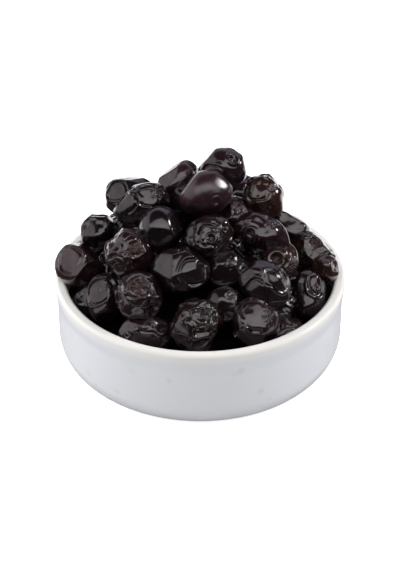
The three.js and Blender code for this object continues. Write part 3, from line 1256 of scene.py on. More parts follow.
@dataclass
class OliveGrower:
    """Turns a cloud of marked points into wrinkled olives, one node tree for all kinds."""

    FLATS = 12
    SPOTS = ("stem", "torn", "crumple", "furrow_0", "furrow_1")
    VECTORS = ("turn", "size") + SPOTS + tuple(f"flat_{i}" for i in range(FLATS))
    NUMBERS = ("draw", "softness", "facets", "folds", "scars", "purple", "brown")
    # What the finish reads on the grown mesh; the other marks come off it.
    KEPT = ("folds", "purple", "brown")
    # A flat a metre out cuts nothing.
    NO_FLAT = (0.0, 0.0, 1.0)
    # Metres: skin less far out than this lies behind a spot, and a smaller radius is no spot.
    FACING = 0.001
    LEAST_RADIUS = 0.00001
    # Spot radii, and metres, that are far enough away for any mark to have faded.
    FAR_RADII = 100.0
    FAR = 1.0
    NOISE_MEAN = 0.5

    relief: SkinRelief = field(default_factory=SkinRelief)
    tree: bpy.types.NodeTree = field(init=False)

    def __post_init__(self) -> None:
        """Make the tree."""
        self.tree = self._tree()

    def _marks(self) -> list[Step]:
        """Nodes that read what is marked on each point.

        Returns:
            The steps, each named for its mark.
        """
        kinds = [(name, "FLOAT_VECTOR") for name in self.VECTORS + ("centre",)]
        kinds += [(name, "FLOAT") for name in self.NUMBERS]
        return [
            (name, "GeometryNodeInputNamedAttribute", {"data_type": kind}, {"Name": "=" + name})
            for name, kind in kinds
        ]

    def _steps(self) -> list[Step]:
        """Nodes that grow the olives, from the marked points to the dressed mesh.

        Returns:
            The steps in order.
        """
        relief = self.relief
        steps: list[Step] = [
            ("here", "GeometryNodeInputPosition", {}, {}),
            (
                "centred",
                "GeometryNodeStoreNamedAttribute",
                {"data_type": "FLOAT_VECTOR", "domain": "POINT"},
                {"Geometry": "in:Geometry", "Name": "=centre", "Value": "here"},
            ),
            ("ball", "GeometryNodeMeshIcoSphere", {}, {"Subdivisions": "in:Ball division"}),
        ]
        steps += self._marks()
        steps += [
            (
                "placed",
                "GeometryNodeInstanceOnPoints",
                {},
                {
                    "Points": "centred",
                    "Instance": "ball:Mesh",
                    "Rotation": "turn:Attribute",
                    "Scale": "size:Attribute",
                },
            ),
            ("real", "GeometryNodeRealizeInstances", {}, {"Geometry": "placed"}),
            ("own", "ShaderNodeVectorMath:SUBTRACT", {}, ("here", "centre:Attribute")),
            # A place of its own in the patterns for every olive, in millimetres.
            (
                "shift",
                "ShaderNodeVectorMath:SCALE",
                {},
                {0: relief.own_shift, "Scale": "draw:Attribute"},
            ),
            ("grid", "ShaderNodeVectorMath:MULTIPLY_ADD", {}, ("own", (1 / MM,) * 3, "shift")),
            (
                "sway",
                "ShaderNodeTexNoise",
                {},
                {"Vector": "grid", "Scale": relief.sway_scale, "Detail": 1.0},
            ),
            ("sway_mid", "ShaderNodeMath:SUBTRACT", {}, ("sway", self.NOISE_MEAN)),
            ("sway_own", "ShaderNodeMath:MULTIPLY", {}, ("sway_mid", "facets:Attribute")),
            ("wave_high", "ShaderNodeMath:MULTIPLY", {}, ("sway_own", "in:Flat sway")),
        ]
        steps += self._flat_steps()
        steps += self._relief_steps()
        for name in self.SPOTS:
            steps += self._spot_steps(name)
        steps += [
            # Furrows wander, and fade along their way round the spot.
            (
                "bend",
                "ShaderNodeTexNoise",
                {},
                {"Vector": "grid", "Scale": relief.bend_scale, "Detail": 0.3},
            ),
            ("bend_mid", "ShaderNodeMath:SUBTRACT", {}, ("bend", self.NOISE_MEAN)),
            ("furrow_bend", "ShaderNodeMath:MULTIPLY", {}, ("bend_mid", relief.bend_reach)),
            (
                "furrow_here",
                "ShaderNodeMapRange",
                {"interpolation_type": "SMOOTHSTEP"},
                {
                    "Value": "bend:Color",
                    "From Min": relief.furrow_ends[0],
                    "From Max": relief.furrow_ends[1],
                },
            ),
            (
                "furrow_down",
                "ShaderNodeMath:MULTIPLY",
                {},
                ("furrow_here:Result", "in:Furrow depth"),
            ),
            ("furrow_low", "ShaderNodeMath:MULTIPLY", {}, ("furrow_down", -1.0)),
        ]
        for name in self.SPOTS:
            if name.startswith("furrow"):
                steps += self._furrow_steps(name)
        steps += self._mark_steps()
        steps += self._dressing_steps()
        return steps

    def _flat_steps(self) -> list[Step]:
        """Press the flats into the smooth olive, one after the other.

        Returns:
            The steps; the last one is the pressed mesh.
        """
        steps: list[Step] = []
        last = "own"
        for i in range(self.FLATS):
            flat = f"flat_{i}"
            steps += [
                (f"{flat}_way", "ShaderNodeVectorMath:NORMALIZE", {}, (f"{flat}:Attribute",)),
                (f"{flat}_length", "ShaderNodeVectorMath:LENGTH", {}, (f"{flat}:Attribute",)),
                (f"{flat}_level", "ShaderNodeMath:ADD", {}, (f"{flat}_length:Value", "wave_high")),
                (f"{flat}_dot", "ShaderNodeVectorMath:DOT_PRODUCT", {}, (last, f"{flat}_way")),
                (
                    f"{flat}_cut",
                    "ShaderNodeMath:SMOOTH_MIN",
                    {},
                    (f"{flat}_dot:Value", f"{flat}_level", "softness:Attribute"),
                ),
                (
                    f"{flat}_move",
                    "ShaderNodeMath:SUBTRACT",
                    {},
                    (f"{flat}_cut", f"{flat}_dot:Value"),
                ),
                (
                    f"{flat}_back",
                    "ShaderNodeVectorMath:SCALE",
                    {},
                    {0: f"{flat}_way", "Scale": f"{flat}_move"},
                ),
                (f"{flat}_own", "ShaderNodeVectorMath:ADD", {}, (last, f"{flat}_back")),
            ]
            last = f"{flat}_own"
        steps += [
            ("pressed_at", "ShaderNodeVectorMath:ADD", {}, (last, "centre:Attribute")),
            (
                "pressed",
                "GeometryNodeSetPosition",
                {},
                {"Geometry": "real", "Position": "pressed_at"},
            ),
        ]
        return steps

    def _relief_steps(self) -> list[Step]:
        """Heights of the shallow facets and of the folds.

        Returns:
            The steps; the last one is the height.
        """
        relief = self.relief
        return [
            (
                "drift",
                "ShaderNodeTexNoise",
                {},
                {"Vector": "grid", "Scale": relief.drift_scale, "Detail": 1.0},
            ),
            (
                "drifted",
                "ShaderNodeVectorMath:MULTIPLY_ADD",
                {},
                ("drift:Color", "in:Drift", "grid"),
            ),
            (
                "facet",
                "ShaderNodeTexVoronoi",
                {"feature": "SMOOTH_F1"},
                {
                    "Vector": "drifted",
                    "Scale": relief.facet_scale,
                    "Smoothness": relief.facet_softness,
                },
            ),
            # Squared, so that a facet is round and not pointed in its middle.
            ("facet_round", "ShaderNodeMath:MULTIPLY", {}, ("facet:Distance", "facet:Distance")),
            ("facet_mid", "ShaderNodeMath:SUBTRACT", {}, ("facet_round", relief.facet_level)),
            ("facet_own", "ShaderNodeMath:MULTIPLY", {}, ("facet_mid", "facets:Attribute")),
            ("facet_high", "ShaderNodeMath:MULTIPLY", {}, ("facet_own", "in:Facet depth")),
            # Folds follow the level lines of a drifting field, so they curl round each other.
            (
                "flow",
                "ShaderNodeTexNoise",
                {},
                {"Vector": "drifted", "Scale": relief.flow_scale, "Detail": 0.5},
            ),
            ("lines", "ShaderNodeMath:MULTIPLY", {}, ("flow", "in:Fold lines")),
            ("wave", "ShaderNodeMath:SINE", {}, ("lines",)),
            ("swing", "ShaderNodeMath:ABSOLUTE", {}, ("wave",)),
            ("valley", "ShaderNodeMath:SUBTRACT", {}, (1.0, "swing")),
            ("crease", "ShaderNodeMath:POWER", {}, ("valley", relief.crease_sharpness)),
            (
                "where",
                "ShaderNodeTexNoise",
                {},
                {"Vector": "grid", "Scale": relief.patch_scale, "Detail": 1.0},
            ),
            (
                "patchy",
                "ShaderNodeMapRange",
                {"interpolation_type": "SMOOTHSTEP"},
                {
                    "Value": "where:Color",
                    "From Min": relief.patch_ends[0],
                    "From Max": relief.patch_ends[1],
                    "To Min": relief.patch_least,
                },
            ),
            ("crease_here", "ShaderNodeMath:MULTIPLY", {}, ("crease", "patchy:Result")),
            ("crease_own", "ShaderNodeMath:MULTIPLY", {}, ("crease_here", "folds:Attribute")),
            ("crease_deep", "ShaderNodeMath:MULTIPLY", {}, ("crease_own", "in:Fold depth")),
            (
                "fine",
                "ShaderNodeTexNoise",
                {},
                {"Vector": "drifted", "Scale": relief.fine_scale, "Detail": 1.0},
            ),
            ("fine_mid", "ShaderNodeMath:SUBTRACT", {}, ("fine", self.NOISE_MEAN)),
            ("fine_size", "ShaderNodeMath:ABSOLUTE", {}, ("fine_mid",)),
            ("fine_own", "ShaderNodeMath:MULTIPLY", {}, ("fine_size", "folds:Attribute")),
            ("fine_high", "ShaderNodeMath:MULTIPLY", {}, ("fine_own", "in:Fine height")),
            ("high_0", "ShaderNodeMath:SUBTRACT", {}, ("facet_high", "crease_deep")),
            (
                "swell_high",
                "ShaderNodeMath:MULTIPLY_ADD",
                {},
                ("sway_own", "in:Swell height", "high_0"),
            ),
            ("high_1", "ShaderNodeMath:ADD", {}, ("swell_high", "fine_high")),
        ]

    def _spot_steps(self, name: str) -> list[Step]:
        """Distance of the skin from a spot, in spot radii; far away where there is no spot.

        Args:
            name: Name of the spot's mark.

        Returns:
            The steps; the last one's name is the spot's with "_t" after it.
        """
        foot = {0: f"{name}_way", "Scale": f"{name}_along:Value"}
        behind = (f"{name}_along:Value", self.FACING)
        wide = (f"{name}_radius:Value", self.LEAST_RADIUS)
        ratio = (f"{name}_apart:Value", f"{name}_wide")
        far = (f"{name}_behind", self.FAR_RADII, f"{name}_ratio")
        return [
            (f"{name}_way", "ShaderNodeVectorMath:NORMALIZE", {}, (f"{name}:Attribute",)),
            (f"{name}_radius", "ShaderNodeVectorMath:LENGTH", {}, (f"{name}:Attribute",)),
            (f"{name}_along", "ShaderNodeVectorMath:DOT_PRODUCT", {}, ("own", f"{name}_way")),
            (f"{name}_foot", "ShaderNodeVectorMath:SCALE", {}, foot),
            (f"{name}_apart", "ShaderNodeVectorMath:DISTANCE", {}, ("own", f"{name}_foot")),
            (f"{name}_behind", "ShaderNodeMath:LESS_THAN", {}, behind),
            (f"{name}_wide", "ShaderNodeMath:MAXIMUM", {}, wide),
            (f"{name}_ratio", "ShaderNodeMath:DIVIDE", {}, ratio),
            (f"{name}_t", "ShaderNodeMath:MULTIPLY_ADD", {}, far),
        ]

    def _furrow_steps(self, name: str) -> list[Step]:
        """Height of a curved furrow round a spot: a groove with a raised lip outside it.

        Args:
            name: Name of the spot's mark.

        Returns:
            The steps; the last one's name is the spot's with "_high" after it.
        """
        relief = self.relief
        off = (f"{name}_apart:Value", f"{name}_wide")
        bent = ("furrow_bend", f"{name}_wide", f"{name}_off")
        far = (f"{name}_behind", self.FAR, f"{name}_bent")
        lip_less = (f"{name}_lip_square", -relief.lip_narrowness)
        both = (f"{name}_lip", -relief.lip_height, f"{name}_groove")
        return [
            (f"{name}_off", "ShaderNodeMath:SUBTRACT", {}, off),
            (f"{name}_bent", "ShaderNodeMath:MULTIPLY_ADD", {}, bent),
            (f"{name}_far", "ShaderNodeMath:MULTIPLY_ADD", {}, far),
            (f"{name}_x", "ShaderNodeMath:DIVIDE", {}, (f"{name}_far", "in:Furrow width")),
            (f"{name}_square", "ShaderNodeMath:MULTIPLY", {}, (f"{name}_x", f"{name}_x")),
            (f"{name}_less", "ShaderNodeMath:MULTIPLY", {}, (f"{name}_square", -1.0)),
            (f"{name}_groove", "ShaderNodeMath:EXPONENT", {}, (f"{name}_less",)),
            (f"{name}_y", "ShaderNodeMath:SUBTRACT", {}, (f"{name}_x", relief.lip_place)),
            (f"{name}_lip_square", "ShaderNodeMath:MULTIPLY", {}, (f"{name}_y", f"{name}_y")),
            (f"{name}_lip_less", "ShaderNodeMath:MULTIPLY", {}, lip_less),
            (f"{name}_lip", "ShaderNodeMath:EXPONENT", {}, (f"{name}_lip_less",)),
            (f"{name}_sum", "ShaderNodeMath:MULTIPLY_ADD", {}, both),
            (f"{name}_high", "ShaderNodeMath:MULTIPLY", {}, (f"{name}_sum", "furrow_low")),
        ]

    def _mark_steps(self) -> list[Step]:
        """Heights of stem scars, tears and crumples, and the sum of all heights.

        Returns:
            The steps; the last one is the sum.
        """
        relief = self.relief
        ragged = ("sway_mid", relief.tear_raggedness, "torn_t")
        steps: list[Step] = [("ragged", "ShaderNodeMath:MULTIPLY_ADD", {}, ragged)]
        # Each mark is full in its middle and gone at its edge.
        for name, distance, ends, most in (
            ("hole", "stem_t", relief.hole_ends, 1.0),
            ("ripple_fade", "stem_t", relief.ripple_ends, relief.ripple_height),
            ("open", "ragged", relief.tear_ends, 1.0),
            ("near", "crumple_t", relief.crumple_ends, 1.0),
        ):
            fade = {"From Min": ends[0], "From Max": ends[1], "To Min": most, "To Max": 0.0}
            smooth = {"interpolation_type": "SMOOTHSTEP"}
            steps.append((name, "ShaderNodeMapRange", smooth, {"Value": distance} | fade))
        steps += [
            # A stem scar: a hole, a raised ring round it and a few weak rings outside.
            ("ring_off", "ShaderNodeMath:SUBTRACT", {}, ("stem_t", relief.ring_place)),
            ("ring_wide", "ShaderNodeMath:DIVIDE", {}, ("ring_off", relief.ring_width)),
            ("ring_square", "ShaderNodeMath:MULTIPLY", {}, ("ring_wide", "ring_wide")),
            ("ring_less", "ShaderNodeMath:MULTIPLY", {}, ("ring_square", -1.0)),
            ("ring", "ShaderNodeMath:EXPONENT", {}, ("ring_less",)),
            ("ripple_turn", "ShaderNodeMath:MULTIPLY", {}, ("stem_t", relief.ripple_waves)),
            ("ripple_wave", "ShaderNodeMath:COSINE", {}, ("ripple_turn",)),
            ("ripple", "ShaderNodeMath:MULTIPLY", {}, ("ripple_wave", "ripple_fade:Result")),
            ("ring_all", "ShaderNodeMath:ADD", {}, ("ring", "ripple")),
            ("ring_high", "ShaderNodeMath:MULTIPLY", {}, ("ring_all", "in:Ring height")),
            ("hole_deep", "ShaderNodeMath:MULTIPLY", {}, ("hole:Result", "in:Hole depth")),
            ("scar_high", "ShaderNodeMath:SUBTRACT", {}, ("ring_high", "hole_deep")),
            ("stem_high", "ShaderNodeMath:MULTIPLY", {}, ("scar_high", "scars:Attribute")),
            # A tear: the skin is off inside a ragged edge, and the flesh lies lower.
            (
                "fibre",
                "ShaderNodeTexNoise",
                {},
                {"Vector": "drifted", "Scale": relief.fibre_scale, "Detail": 2.0},
            ),
            ("fibre_wave", "ShaderNodeMath:MULTIPLY", {}, ("fibre", relief.fibre_waves)),
            ("fibre_line", "ShaderNodeMath:SINE", {}, ("fibre_wave",)),
            (
                "flesh_low",
                "ShaderNodeMath:MULTIPLY_ADD",
                {},
                ("fibre_line", relief.fibre_height, -1.0),
            ),
            ("torn_low", "ShaderNodeMath:MULTIPLY", {}, ("flesh_low", "open:Result")),
            ("torn_high", "ShaderNodeMath:MULTIPLY", {}, ("torn_low", "in:Tear depth")),
            # A crumple: small sharp pleats that break the light into sparks.
            (
                "pleat",
                "ShaderNodeTexNoise",
                {},
                {"Vector": "drifted", "Scale": relief.pleat_scale, "Detail": 0.8},
            ),
            ("pleat_wave", "ShaderNodeMath:MULTIPLY", {}, ("pleat", relief.pleat_waves)),
            ("pleat_line", "ShaderNodeMath:SINE", {}, ("pleat_wave",)),
            ("pleat_here", "ShaderNodeMath:MULTIPLY", {}, ("pleat_line", "near:Result")),
            ("pleat_high", "ShaderNodeMath:MULTIPLY", {}, ("pleat_here", "in:Pleat height")),
            ("high_2", "ShaderNodeMath:ADD", {}, ("high_1", "stem_high")),
            ("high_3", "ShaderNodeMath:ADD", {}, ("high_2", "torn_high")),
            ("high_4", "ShaderNodeMath:ADD", {}, ("high_3", "pleat_high")),
            ("high_5", "ShaderNodeMath:ADD", {}, ("high_4", "furrow_0_high")),
            ("high", "ShaderNodeMath:ADD", {}, ("high_5", "furrow_1_high")),
        ]
        return steps

    def _dressing_steps(self) -> list[Step]:
        """Raise the marks out of the skin, note where it is raw, and give it its finish.

        Returns:
            The steps; the last one is the dressed mesh.
        """
        number = {"data_type": "FLOAT", "domain": "POINT"}
        flesh = {"Geometry": "pressed", "Name": "=flesh", "Value": "raw"}
        pleats = {"Geometry": "bared", "Name": "=pleats", "Value": "near:Result"}
        return [
            # Flesh shows in the tear and at the bottom of the stem's hole.
            ("hole_raw", "ShaderNodeMath:MULTIPLY", {}, ("hole:Result", self.relief.hole_flesh)),
            ("raw", "ShaderNodeMath:MAXIMUM", {}, ("hole_raw", "open:Result")),
            ("out", "GeometryNodeInputNormal", {}, {}),
            ("raise", "ShaderNodeVectorMath:SCALE", {}, {0: "out", "Scale": "high"}),
            ("bared", "GeometryNodeStoreNamedAttribute", number, flesh),
            ("pleated", "GeometryNodeStoreNamedAttribute", number, pleats),
            ("wrinkled", "GeometryNodeSetPosition", {}, {"Geometry": "pleated", "Offset": "raise"}),
            ("smooth", "GeometryNodeSetShadeSmooth", {}, {"Geometry": "wrinkled"}),
            (
                "dressed",
                "GeometryNodeSetMaterial",
                {},
                {"Geometry": "smooth", "Material": "in:Skin"},
            ),
        ]

    def _tree(self) -> bpy.types.NodeTree:
        """Make the tree with its named inputs.

        Returns:
            The tree.
        """
        tree = bpy.data.node_groups.new("grow_olives", "GeometryNodeTree")
        ports = tree.interface
        ports.new_socket("Geometry", in_out="INPUT", socket_type="NodeSocketGeometry")
        ports.new_socket("Ball division", in_out="INPUT", socket_type="NodeSocketInt")
        for name in SKIN_SIZES:
            kind = "Vector" if name == "Drift" else "Float"
            ports.new_socket(name, in_out="INPUT", socket_type="NodeSocket" + kind)
        ports.new_socket("Skin", in_out="INPUT", socket_type="NodeSocketMaterial")
        ports.new_socket("Geometry", in_out="OUTPUT", socket_type="NodeSocketGeometry")
        entry = tree.nodes.new("NodeGroupInput")
        entry.name = "in"
        made = add_nodes(tree, self._steps())
        end = tree.nodes.new("NodeGroupOutput")
        tree.links.new(made["dressed"].outputs[0], end.inputs["Geometry"])
        return tree

    def grow(
        self, name: str, olives: list[Olive], division: int, skin: bpy.types.Material
    ) -> bpy.types.Object:
        """Grow one piece of several olives.

        Args:
            name: Name of the piece.
            olives: The olives in it.
            division: Times the ball's sides are divided.
            skin: Material of the piece.

        Returns:
            The finished plain mesh object.
        """
        seedbed = new_mesh_object(name + "_points", np.array([o.at for o in olives]) * MM, [])
        self._mark(seedbed.data, olives)
        modifier = seedbed.modifiers.new("grow", "NODES")
        modifier.node_group = self.tree
        values = {"Ball division": division, "Skin": skin} | SKIN_SIZES
        for item in self.tree.interface.items_tree:
            if item.in_out == "INPUT" and item.name in values:
                modifier[item.identifier] = values[item.name]
        ready = seedbed.evaluated_get(bpy.context.evaluated_depsgraph_get())
        mesh = bpy.data.meshes.new_from_object(ready)
        mesh.name = name
        for mark in self.VECTORS + ("centre",) + self.NUMBERS:
            if mark in mesh.attributes and mark not in self.KEPT:
                mesh.attributes.remove(mesh.attributes[mark])
        bpy.data.objects.remove(seedbed)
        piece = bpy.data.objects.new(name, mesh)
        bpy.context.scene.collection.objects.link(piece)
        return piece

    def _mark(self, mesh: bpy.types.Mesh, olives: list[Olive]) -> None:
        """Write each olive's shape and colour on its point.

        Args:
            mesh: Points, one an olive.
            olives: The olives in the same order.
        """
        for name in self.VECTORS:
            rows = [self._vector(name, o) for o in olives]
            layer = mesh.attributes.new(name, "FLOAT_VECTOR", "POINT")
            layer.data.foreach_set("vector", np.array(rows, np.float32).ravel())
        for name in self.NUMBERS:
            values = [self._number(name, o) for o in olives]
            layer = mesh.attributes.new(name, "FLOAT", "POINT")
            layer.data.foreach_set("value", np.array(values, np.float32))

    def _vector(self, name: str, olive: Olive) -> tuple[float, float, float]:
        """Find the value of a vector mark.

        Args:
            name: Name of the mark.
            olive: The olive.

        Returns:
            The value: a turn in radians, or a size or place in metres.
        """
        if name == "turn":
            return tuple(olive.frame().to_euler())
        if name == "size":
            length, width = (size * olive.build.value.fullness * MM for size in olive.half)
            return (width, width, length)
        if name.startswith("flat_"):
            place = int(name.removeprefix("flat_"))
            if place >= len(olive.flats):
                return self.NO_FLAT
            clock, tilt, depth = olive.flats[place]
            direction = seen_from_front(clock, tilt)
            return tuple(direction * (olive.support(direction) * SWELL - depth) * MM)
        if name.startswith("furrow_"):
            place = int(name.removeprefix("furrow_"))
            spot = olive.furrows[place] if place < len(olive.furrows) else None
        else:
            spot = getattr(olive, name)
        if spot is None:
            return (0.0, 0.0, 0.0)
        return tuple(seen_from_front(spot[0], spot[1]) * spot[2] * MM)

    def _number(self, name: str, olive: Olive) -> float:
        """Find the value of a number mark.

        Args:
            name: Name of the mark.
            olive: The olive.

        Returns:
            The value.
        """
        if name == "softness":
            return olive.build.value.softness * MM
        if name in Shrinkage._fields:
            return getattr(olive.build.value, name)
        return getattr(olive, name)


def nearness(y: float, ends: Pair) -> float:
    """Share of the way from the second to the first of two places along y, held to 0 to 1."""
    front, back = ends
    return min(max((back - y) / (back - front), 0), 1)


@dataclass
class OliveHeap:
    """The heap: the olives of the serving side, and those laid between and behind them.

    Sizes in mm, angles in degrees. A layer is its depth and how far its olives may press into
    others, and a pair of ends or sizes holds the least and the most.
    """

    dish: ServingDish
    fit_gap: float = 0.3
    # The surface that the olives are laid to, and how it falls off to the front and sides.
    edge_height: float = 42.0
    top_height: float = 74.0
    lay_radius: float = 50.0
    swell: float = 1.35
    lean: float = 0.22
    serving_drop: float = 20.0
    serving_ends: Pair = (6.0, 31.0)
    rim_drop: float = 8.0
    rim_ends: Pair = (-35.0, -15.0)
    side_fall: float = 0.5
    side_start: float = 15.0
    # How places are tried, and the olives that are tried there.
    lay_step: float = 1.0
    lay_turn: int = 4
    first_bearing: int = 96
    layers: tuple[Pair, ...] = ((0.0, 2.4), (3.5, 3.0), (7.0, 3.4), (10.5, 3.6))
    misses: int = 3
    clear_apart: float = 22.0
    lengths: Pair = (8.8, 10.4)
    widths: Pair = (7.4, 8.6)
    lifts: Pair = (-20.0, 50.0)
    lay_seed: int = 20117
    # What a laid olive looks like.
    look_seed: int = 977
    looks: tuple[Build, ...] = (
        Build.PLUMP, Build.SMOOTH, Build.FIRM, Build.FIRM, Build.CREASED
    )
    most_purple: float = 0.9
    most_brown: float = 0.8
    stems_below: float = 0.3
    stem_sizes: Pair = (2.0, 3.0)
    crumples_above: float = 0.6
    crumple_sizes: Pair = (2.0, 4.5)
    furrow_sizes: Pair = (2.5, 6.0)
    flat_depths: Pair = (0.3, 1.2)
    flats_apart: float = 40.0
    spare_spots: int = 18
    # The dark ground, in painted shade.
    core_edge: float = 18.0
    core_top: float = 50.0
    core_swell: float = 1.25
    core_rings: int = 9
    core_corner_steps: int = 8
    core_sides: int = 72
    buried_depth: float = 2.0
    # How many olives make a piece, and how finely each is divided.
    front_a_piece: int = 9
    back_a_piece: int = 36
    front_division: int = 6
    back_division: int = 5

    def draws(self, seed: int) -> Iterator[float]:
        """Repeatable draws from 0 to 1.

        Args:
            seed: First state.

        Yields:
            One draw after the other.
        """
        state = seed
        while True:
            state = (state * DRAW_FACTOR) % DRAW_MODULUS
            yield state / DRAW_MODULUS

    def lay_point(self, out: float, bearing: float, drop: float) -> tuple[float, float, float]:
        """Centre of an olive that lies a given way out on the heap and below its top layer.

        Args:
            out: Distance from the heap's middle line.
            bearing: Direction in radians.
            drop: Depth below the top layer.

        Returns:
            The centre in millimetres.
        """
        rise = self.top_height - self.edge_height
        z = self.edge_height + rise * (1 - (out / self.lay_radius) ** self.swell)
        y = out * math.sin(bearing) + (z - self.edge_height) * self.lean
        x = out * math.cos(bearing)
        served = self.serving_drop * nearness(y, self.serving_ends)
        served += self.rim_drop * nearness(y, self.rim_ends)
        fall = self.side_fall * max(abs(x) - self.side_start, 0)
        return (x, y, z - drop - max(served, fall))

    def crowds(self, olive: Olive, others: list[Olive], press: float) -> bool:
        """Tell if an olive presses too far into another.

        Args:
            olive: The olive.
            others: Those already lying.
            press: How far olives may press together.

        Returns:
            True if it does.
        """
        here = Vector(olive.at)
        for other in others:
            apart = Vector(other.at) - here
            distance = apart.length
            if distance > self.clear_apart:
                continue
            apart /= distance
            if olive.reach(apart) + other.reach(apart) - distance > press:
                return True
        return False

    def free_place(self, olive: Olive, others: list[Olive], drop: float, press: float) -> bool:
        """Put an olive in the first free place, tried from the rim to the top.

        Args:
            olive: The olive; its place is set.
            others: Those already lying.
            drop: Depth of the layer.
            press: How far olives may press together.

        Returns:
            True if it found room.
        """
        inner = self.dish.inner_radius() - self.fit_gap
        step = 0
        while step * self.lay_step < self.lay_radius:
            for turn in range(0, 360, self.lay_turn):
                bearing = math.radians(self.first_bearing + turn)
                level = Vector((math.cos(bearing), math.sin(bearing), 0))
                out = inner - olive.support(level) - step * self.lay_step
                if out > 0:
                    olive.at = self.lay_point(out, bearing, drop)
                    if not self.crowds(olive, others, press):
                        return True
            step += 1
        return False

    def lay(self) -> list[list[Olive]]:
        """Lay the heap: the named olives, then layer after layer around them.

        Returns:
            The olives of the serving side, and those of each layer.
        """
        draw = self.draws(self.lay_seed)
        named = list(FRONT.values())
        lying = list(named)
        groups = [named]
        for drop, press in self.layers:
            group: list[Olive] = []
            missed = 0
            while missed < self.misses:
                length = between(self.lengths, next(draw))
                width = between(self.widths, next(draw))
                turn = 360 * next(draw)
                lift = between(self.lifts, next(draw))
                olive = Olive((0, 0, 0), (length, width), turn, lift)
                if self.free_place(olive, lying, drop, press):
                    lying.append(olive)
                    group.append(olive)
                else:
                    missed += 1
            groups.append(group)
        return groups

    def _tilt(self, share: float) -> float:
        """Tilt, in degrees, that spreads even draws evenly over an olive's skin."""
        return math.degrees(math.acos(1 - 2 * share))

    def vary(self, olives: list[Olive]) -> None:
        """Give every olive its own draw, and the laid ones a look of their own.

        Args:
            olives: All olives in order.
        """
        draw = self.draws(self.look_seed)
        named = {id(olive) for olive in FRONT.values()}
        for olive in olives:
            olive.draw = next(draw)
            pick, shade, kind = next(draw), next(draw), next(draw)
            spots = [
                (360 * next(draw), self._tilt(next(draw)), next(draw))
                for _ in range(self.spare_spots)
            ]
            first, second, *rest = spots
            if id(olive) not in named:
                olive.build = self.looks[int(pick * len(self.looks))]
                olive.purple = self.most_purple * shade**3
                olive.brown = self.most_brown * (1 - shade) ** 3
                if kind < self.stems_below:
                    olive.stem = self._sized(first, self.stem_sizes)
                if kind > self.crumples_above:
                    olive.crumple = self._sized(second, self.crumple_sizes)
                olive.furrows = tuple(self._sized(s, self.furrow_sizes) for s in (first, second))
            if olive.build is not Build.PLUMP:
                more = [self._sized(spot, self.flat_depths) for spot in rest]
                olive.flats = self._filled_up(olive.flats, more)

    def _sized(self, spot: Spot, sizes: Pair) -> Spot:
        """The spot with its draw turned into a size between the two given."""
        return (spot[0], spot[1], between(sizes, spot[2]))

    def _filled_up(self, flats: tuple[Spot, ...], more: list[Spot]) -> tuple[Spot, ...]:
        """Add flats to an olive where it has none yet.

        Args:
            flats: The flats it has.
            more: Flats to choose from, in order.

        Returns:
            Old and new flats, each new one well apart from the others.
        """
        closest = math.cos(math.radians(self.flats_apart))
        kept = list(flats)
        for spot in more:
            way = seen_from_front(spot[0], spot[1])
            if all(way.dot(seen_from_front(c, t)) < closest for c, t, _ in kept):
                kept.append(spot)
        return tuple(kept[: OliveGrower.FLATS])

    def shows(self, olive: Olive) -> bool:
        """Tell if an olive lies clear of the dark ground, and of the dish's floor.

        Args:
            olive: The olive.

        Returns:
            True if it does.
        """
        x, y, z = olive.at
        out = min(math.hypot(x, y) / self.dish.inner_radius(), 1)
        low = olive.support(Vector((0, 0, -1))) + self.dish.floor_height() + self.fit_gap
        return z > max(self.ground(out) - self.buried_depth, low)

    def ground(self, out: float) -> float:
        """Height of the dark ground, a share of the inner radius out from the middle."""
        rise = self.core_top - self.core_edge
        return self.core_edge + rise * (1 - out**self.core_swell)

    def core(self) -> bpy.types.Object:
        """Dark ground under the olives, in painted shade, which follows the dish inside.

        Returns:
            The piece.
        """
        inner = self.dish.inner_radius() - self.fit_gap
        floor = self.dish.floor_height() + self.fit_gap
        corner = self.dish.inner_corner
        section = [(0.0, floor)]
        steps = self.core_corner_steps
        section += bend(inner - corner, floor + corner, corner, -90, 0, steps)
        for i in range(self.core_rings):
            out = 1 - i / self.core_rings
            section.append((inner * out, self.ground(out)))
        section.append((0.0, self.core_top))
        points, faces = turned(section, self.core_sides)
        above = np.maximum(points[:, 2] / MM - self.edge_height, 0)
        points[:, 1] += above * self.lean * MM
        piece = new_mesh_object("buried_olives", points, faces)
        piece.data.materials.append(BuriedOlivesInPaintedShade().material())
        return piece

    def build(self) -> list[bpy.types.Object]:
        """Make all the olives and put them in place of the plain heap.

        Returns:
            The pieces.
        """
        grower = OliveGrower()
        skin = OliveSkin().material()
        bloomed = OliveSkin(roughness=0.3, film_roughness=0.22).material()
        groups = self.lay()
        self.vary([olive for group in groups for olive in group])
        groups = [[olive for olive in group if self.shows(olive)] for group in groups]
        ripe = [FRONT["crown_plum"]]
        front = [olive for olive in groups[0] if olive not in ripe]
        fine, coarse = self.front_division, self.back_division
        plan = [
            ("ripe_olive", ripe, fine, self.front_a_piece, bloomed),
            ("front_olives", front, fine, self.front_a_piece, skin),
            ("back_olives", groups[1] + groups[2], coarse, self.back_a_piece, skin),
            ("deep_olives", groups[3] + groups[4], coarse, self.back_a_piece, skin),
        ]
        pieces = [self.core()]
        for name, olives, division, share, finish in plan:
            for start in range(0, len(olives), share):
                part = olives[start : start + share]
                piece = grower.grow(f"{name}_{start // share + 1}", part, division, finish)
                faces = len(piece.data.polygons)
                LOG.info("%s: %d olives, %d faces", piece.name, len(part), faces)
                pieces.append(piece)
        for piece in pieces:
            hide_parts("olive_heap")
            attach(piece, "root")
        return pieces


# --------------------------------------------------------------------------------------
# The studio
# --------------------------------------------------------------------------------------


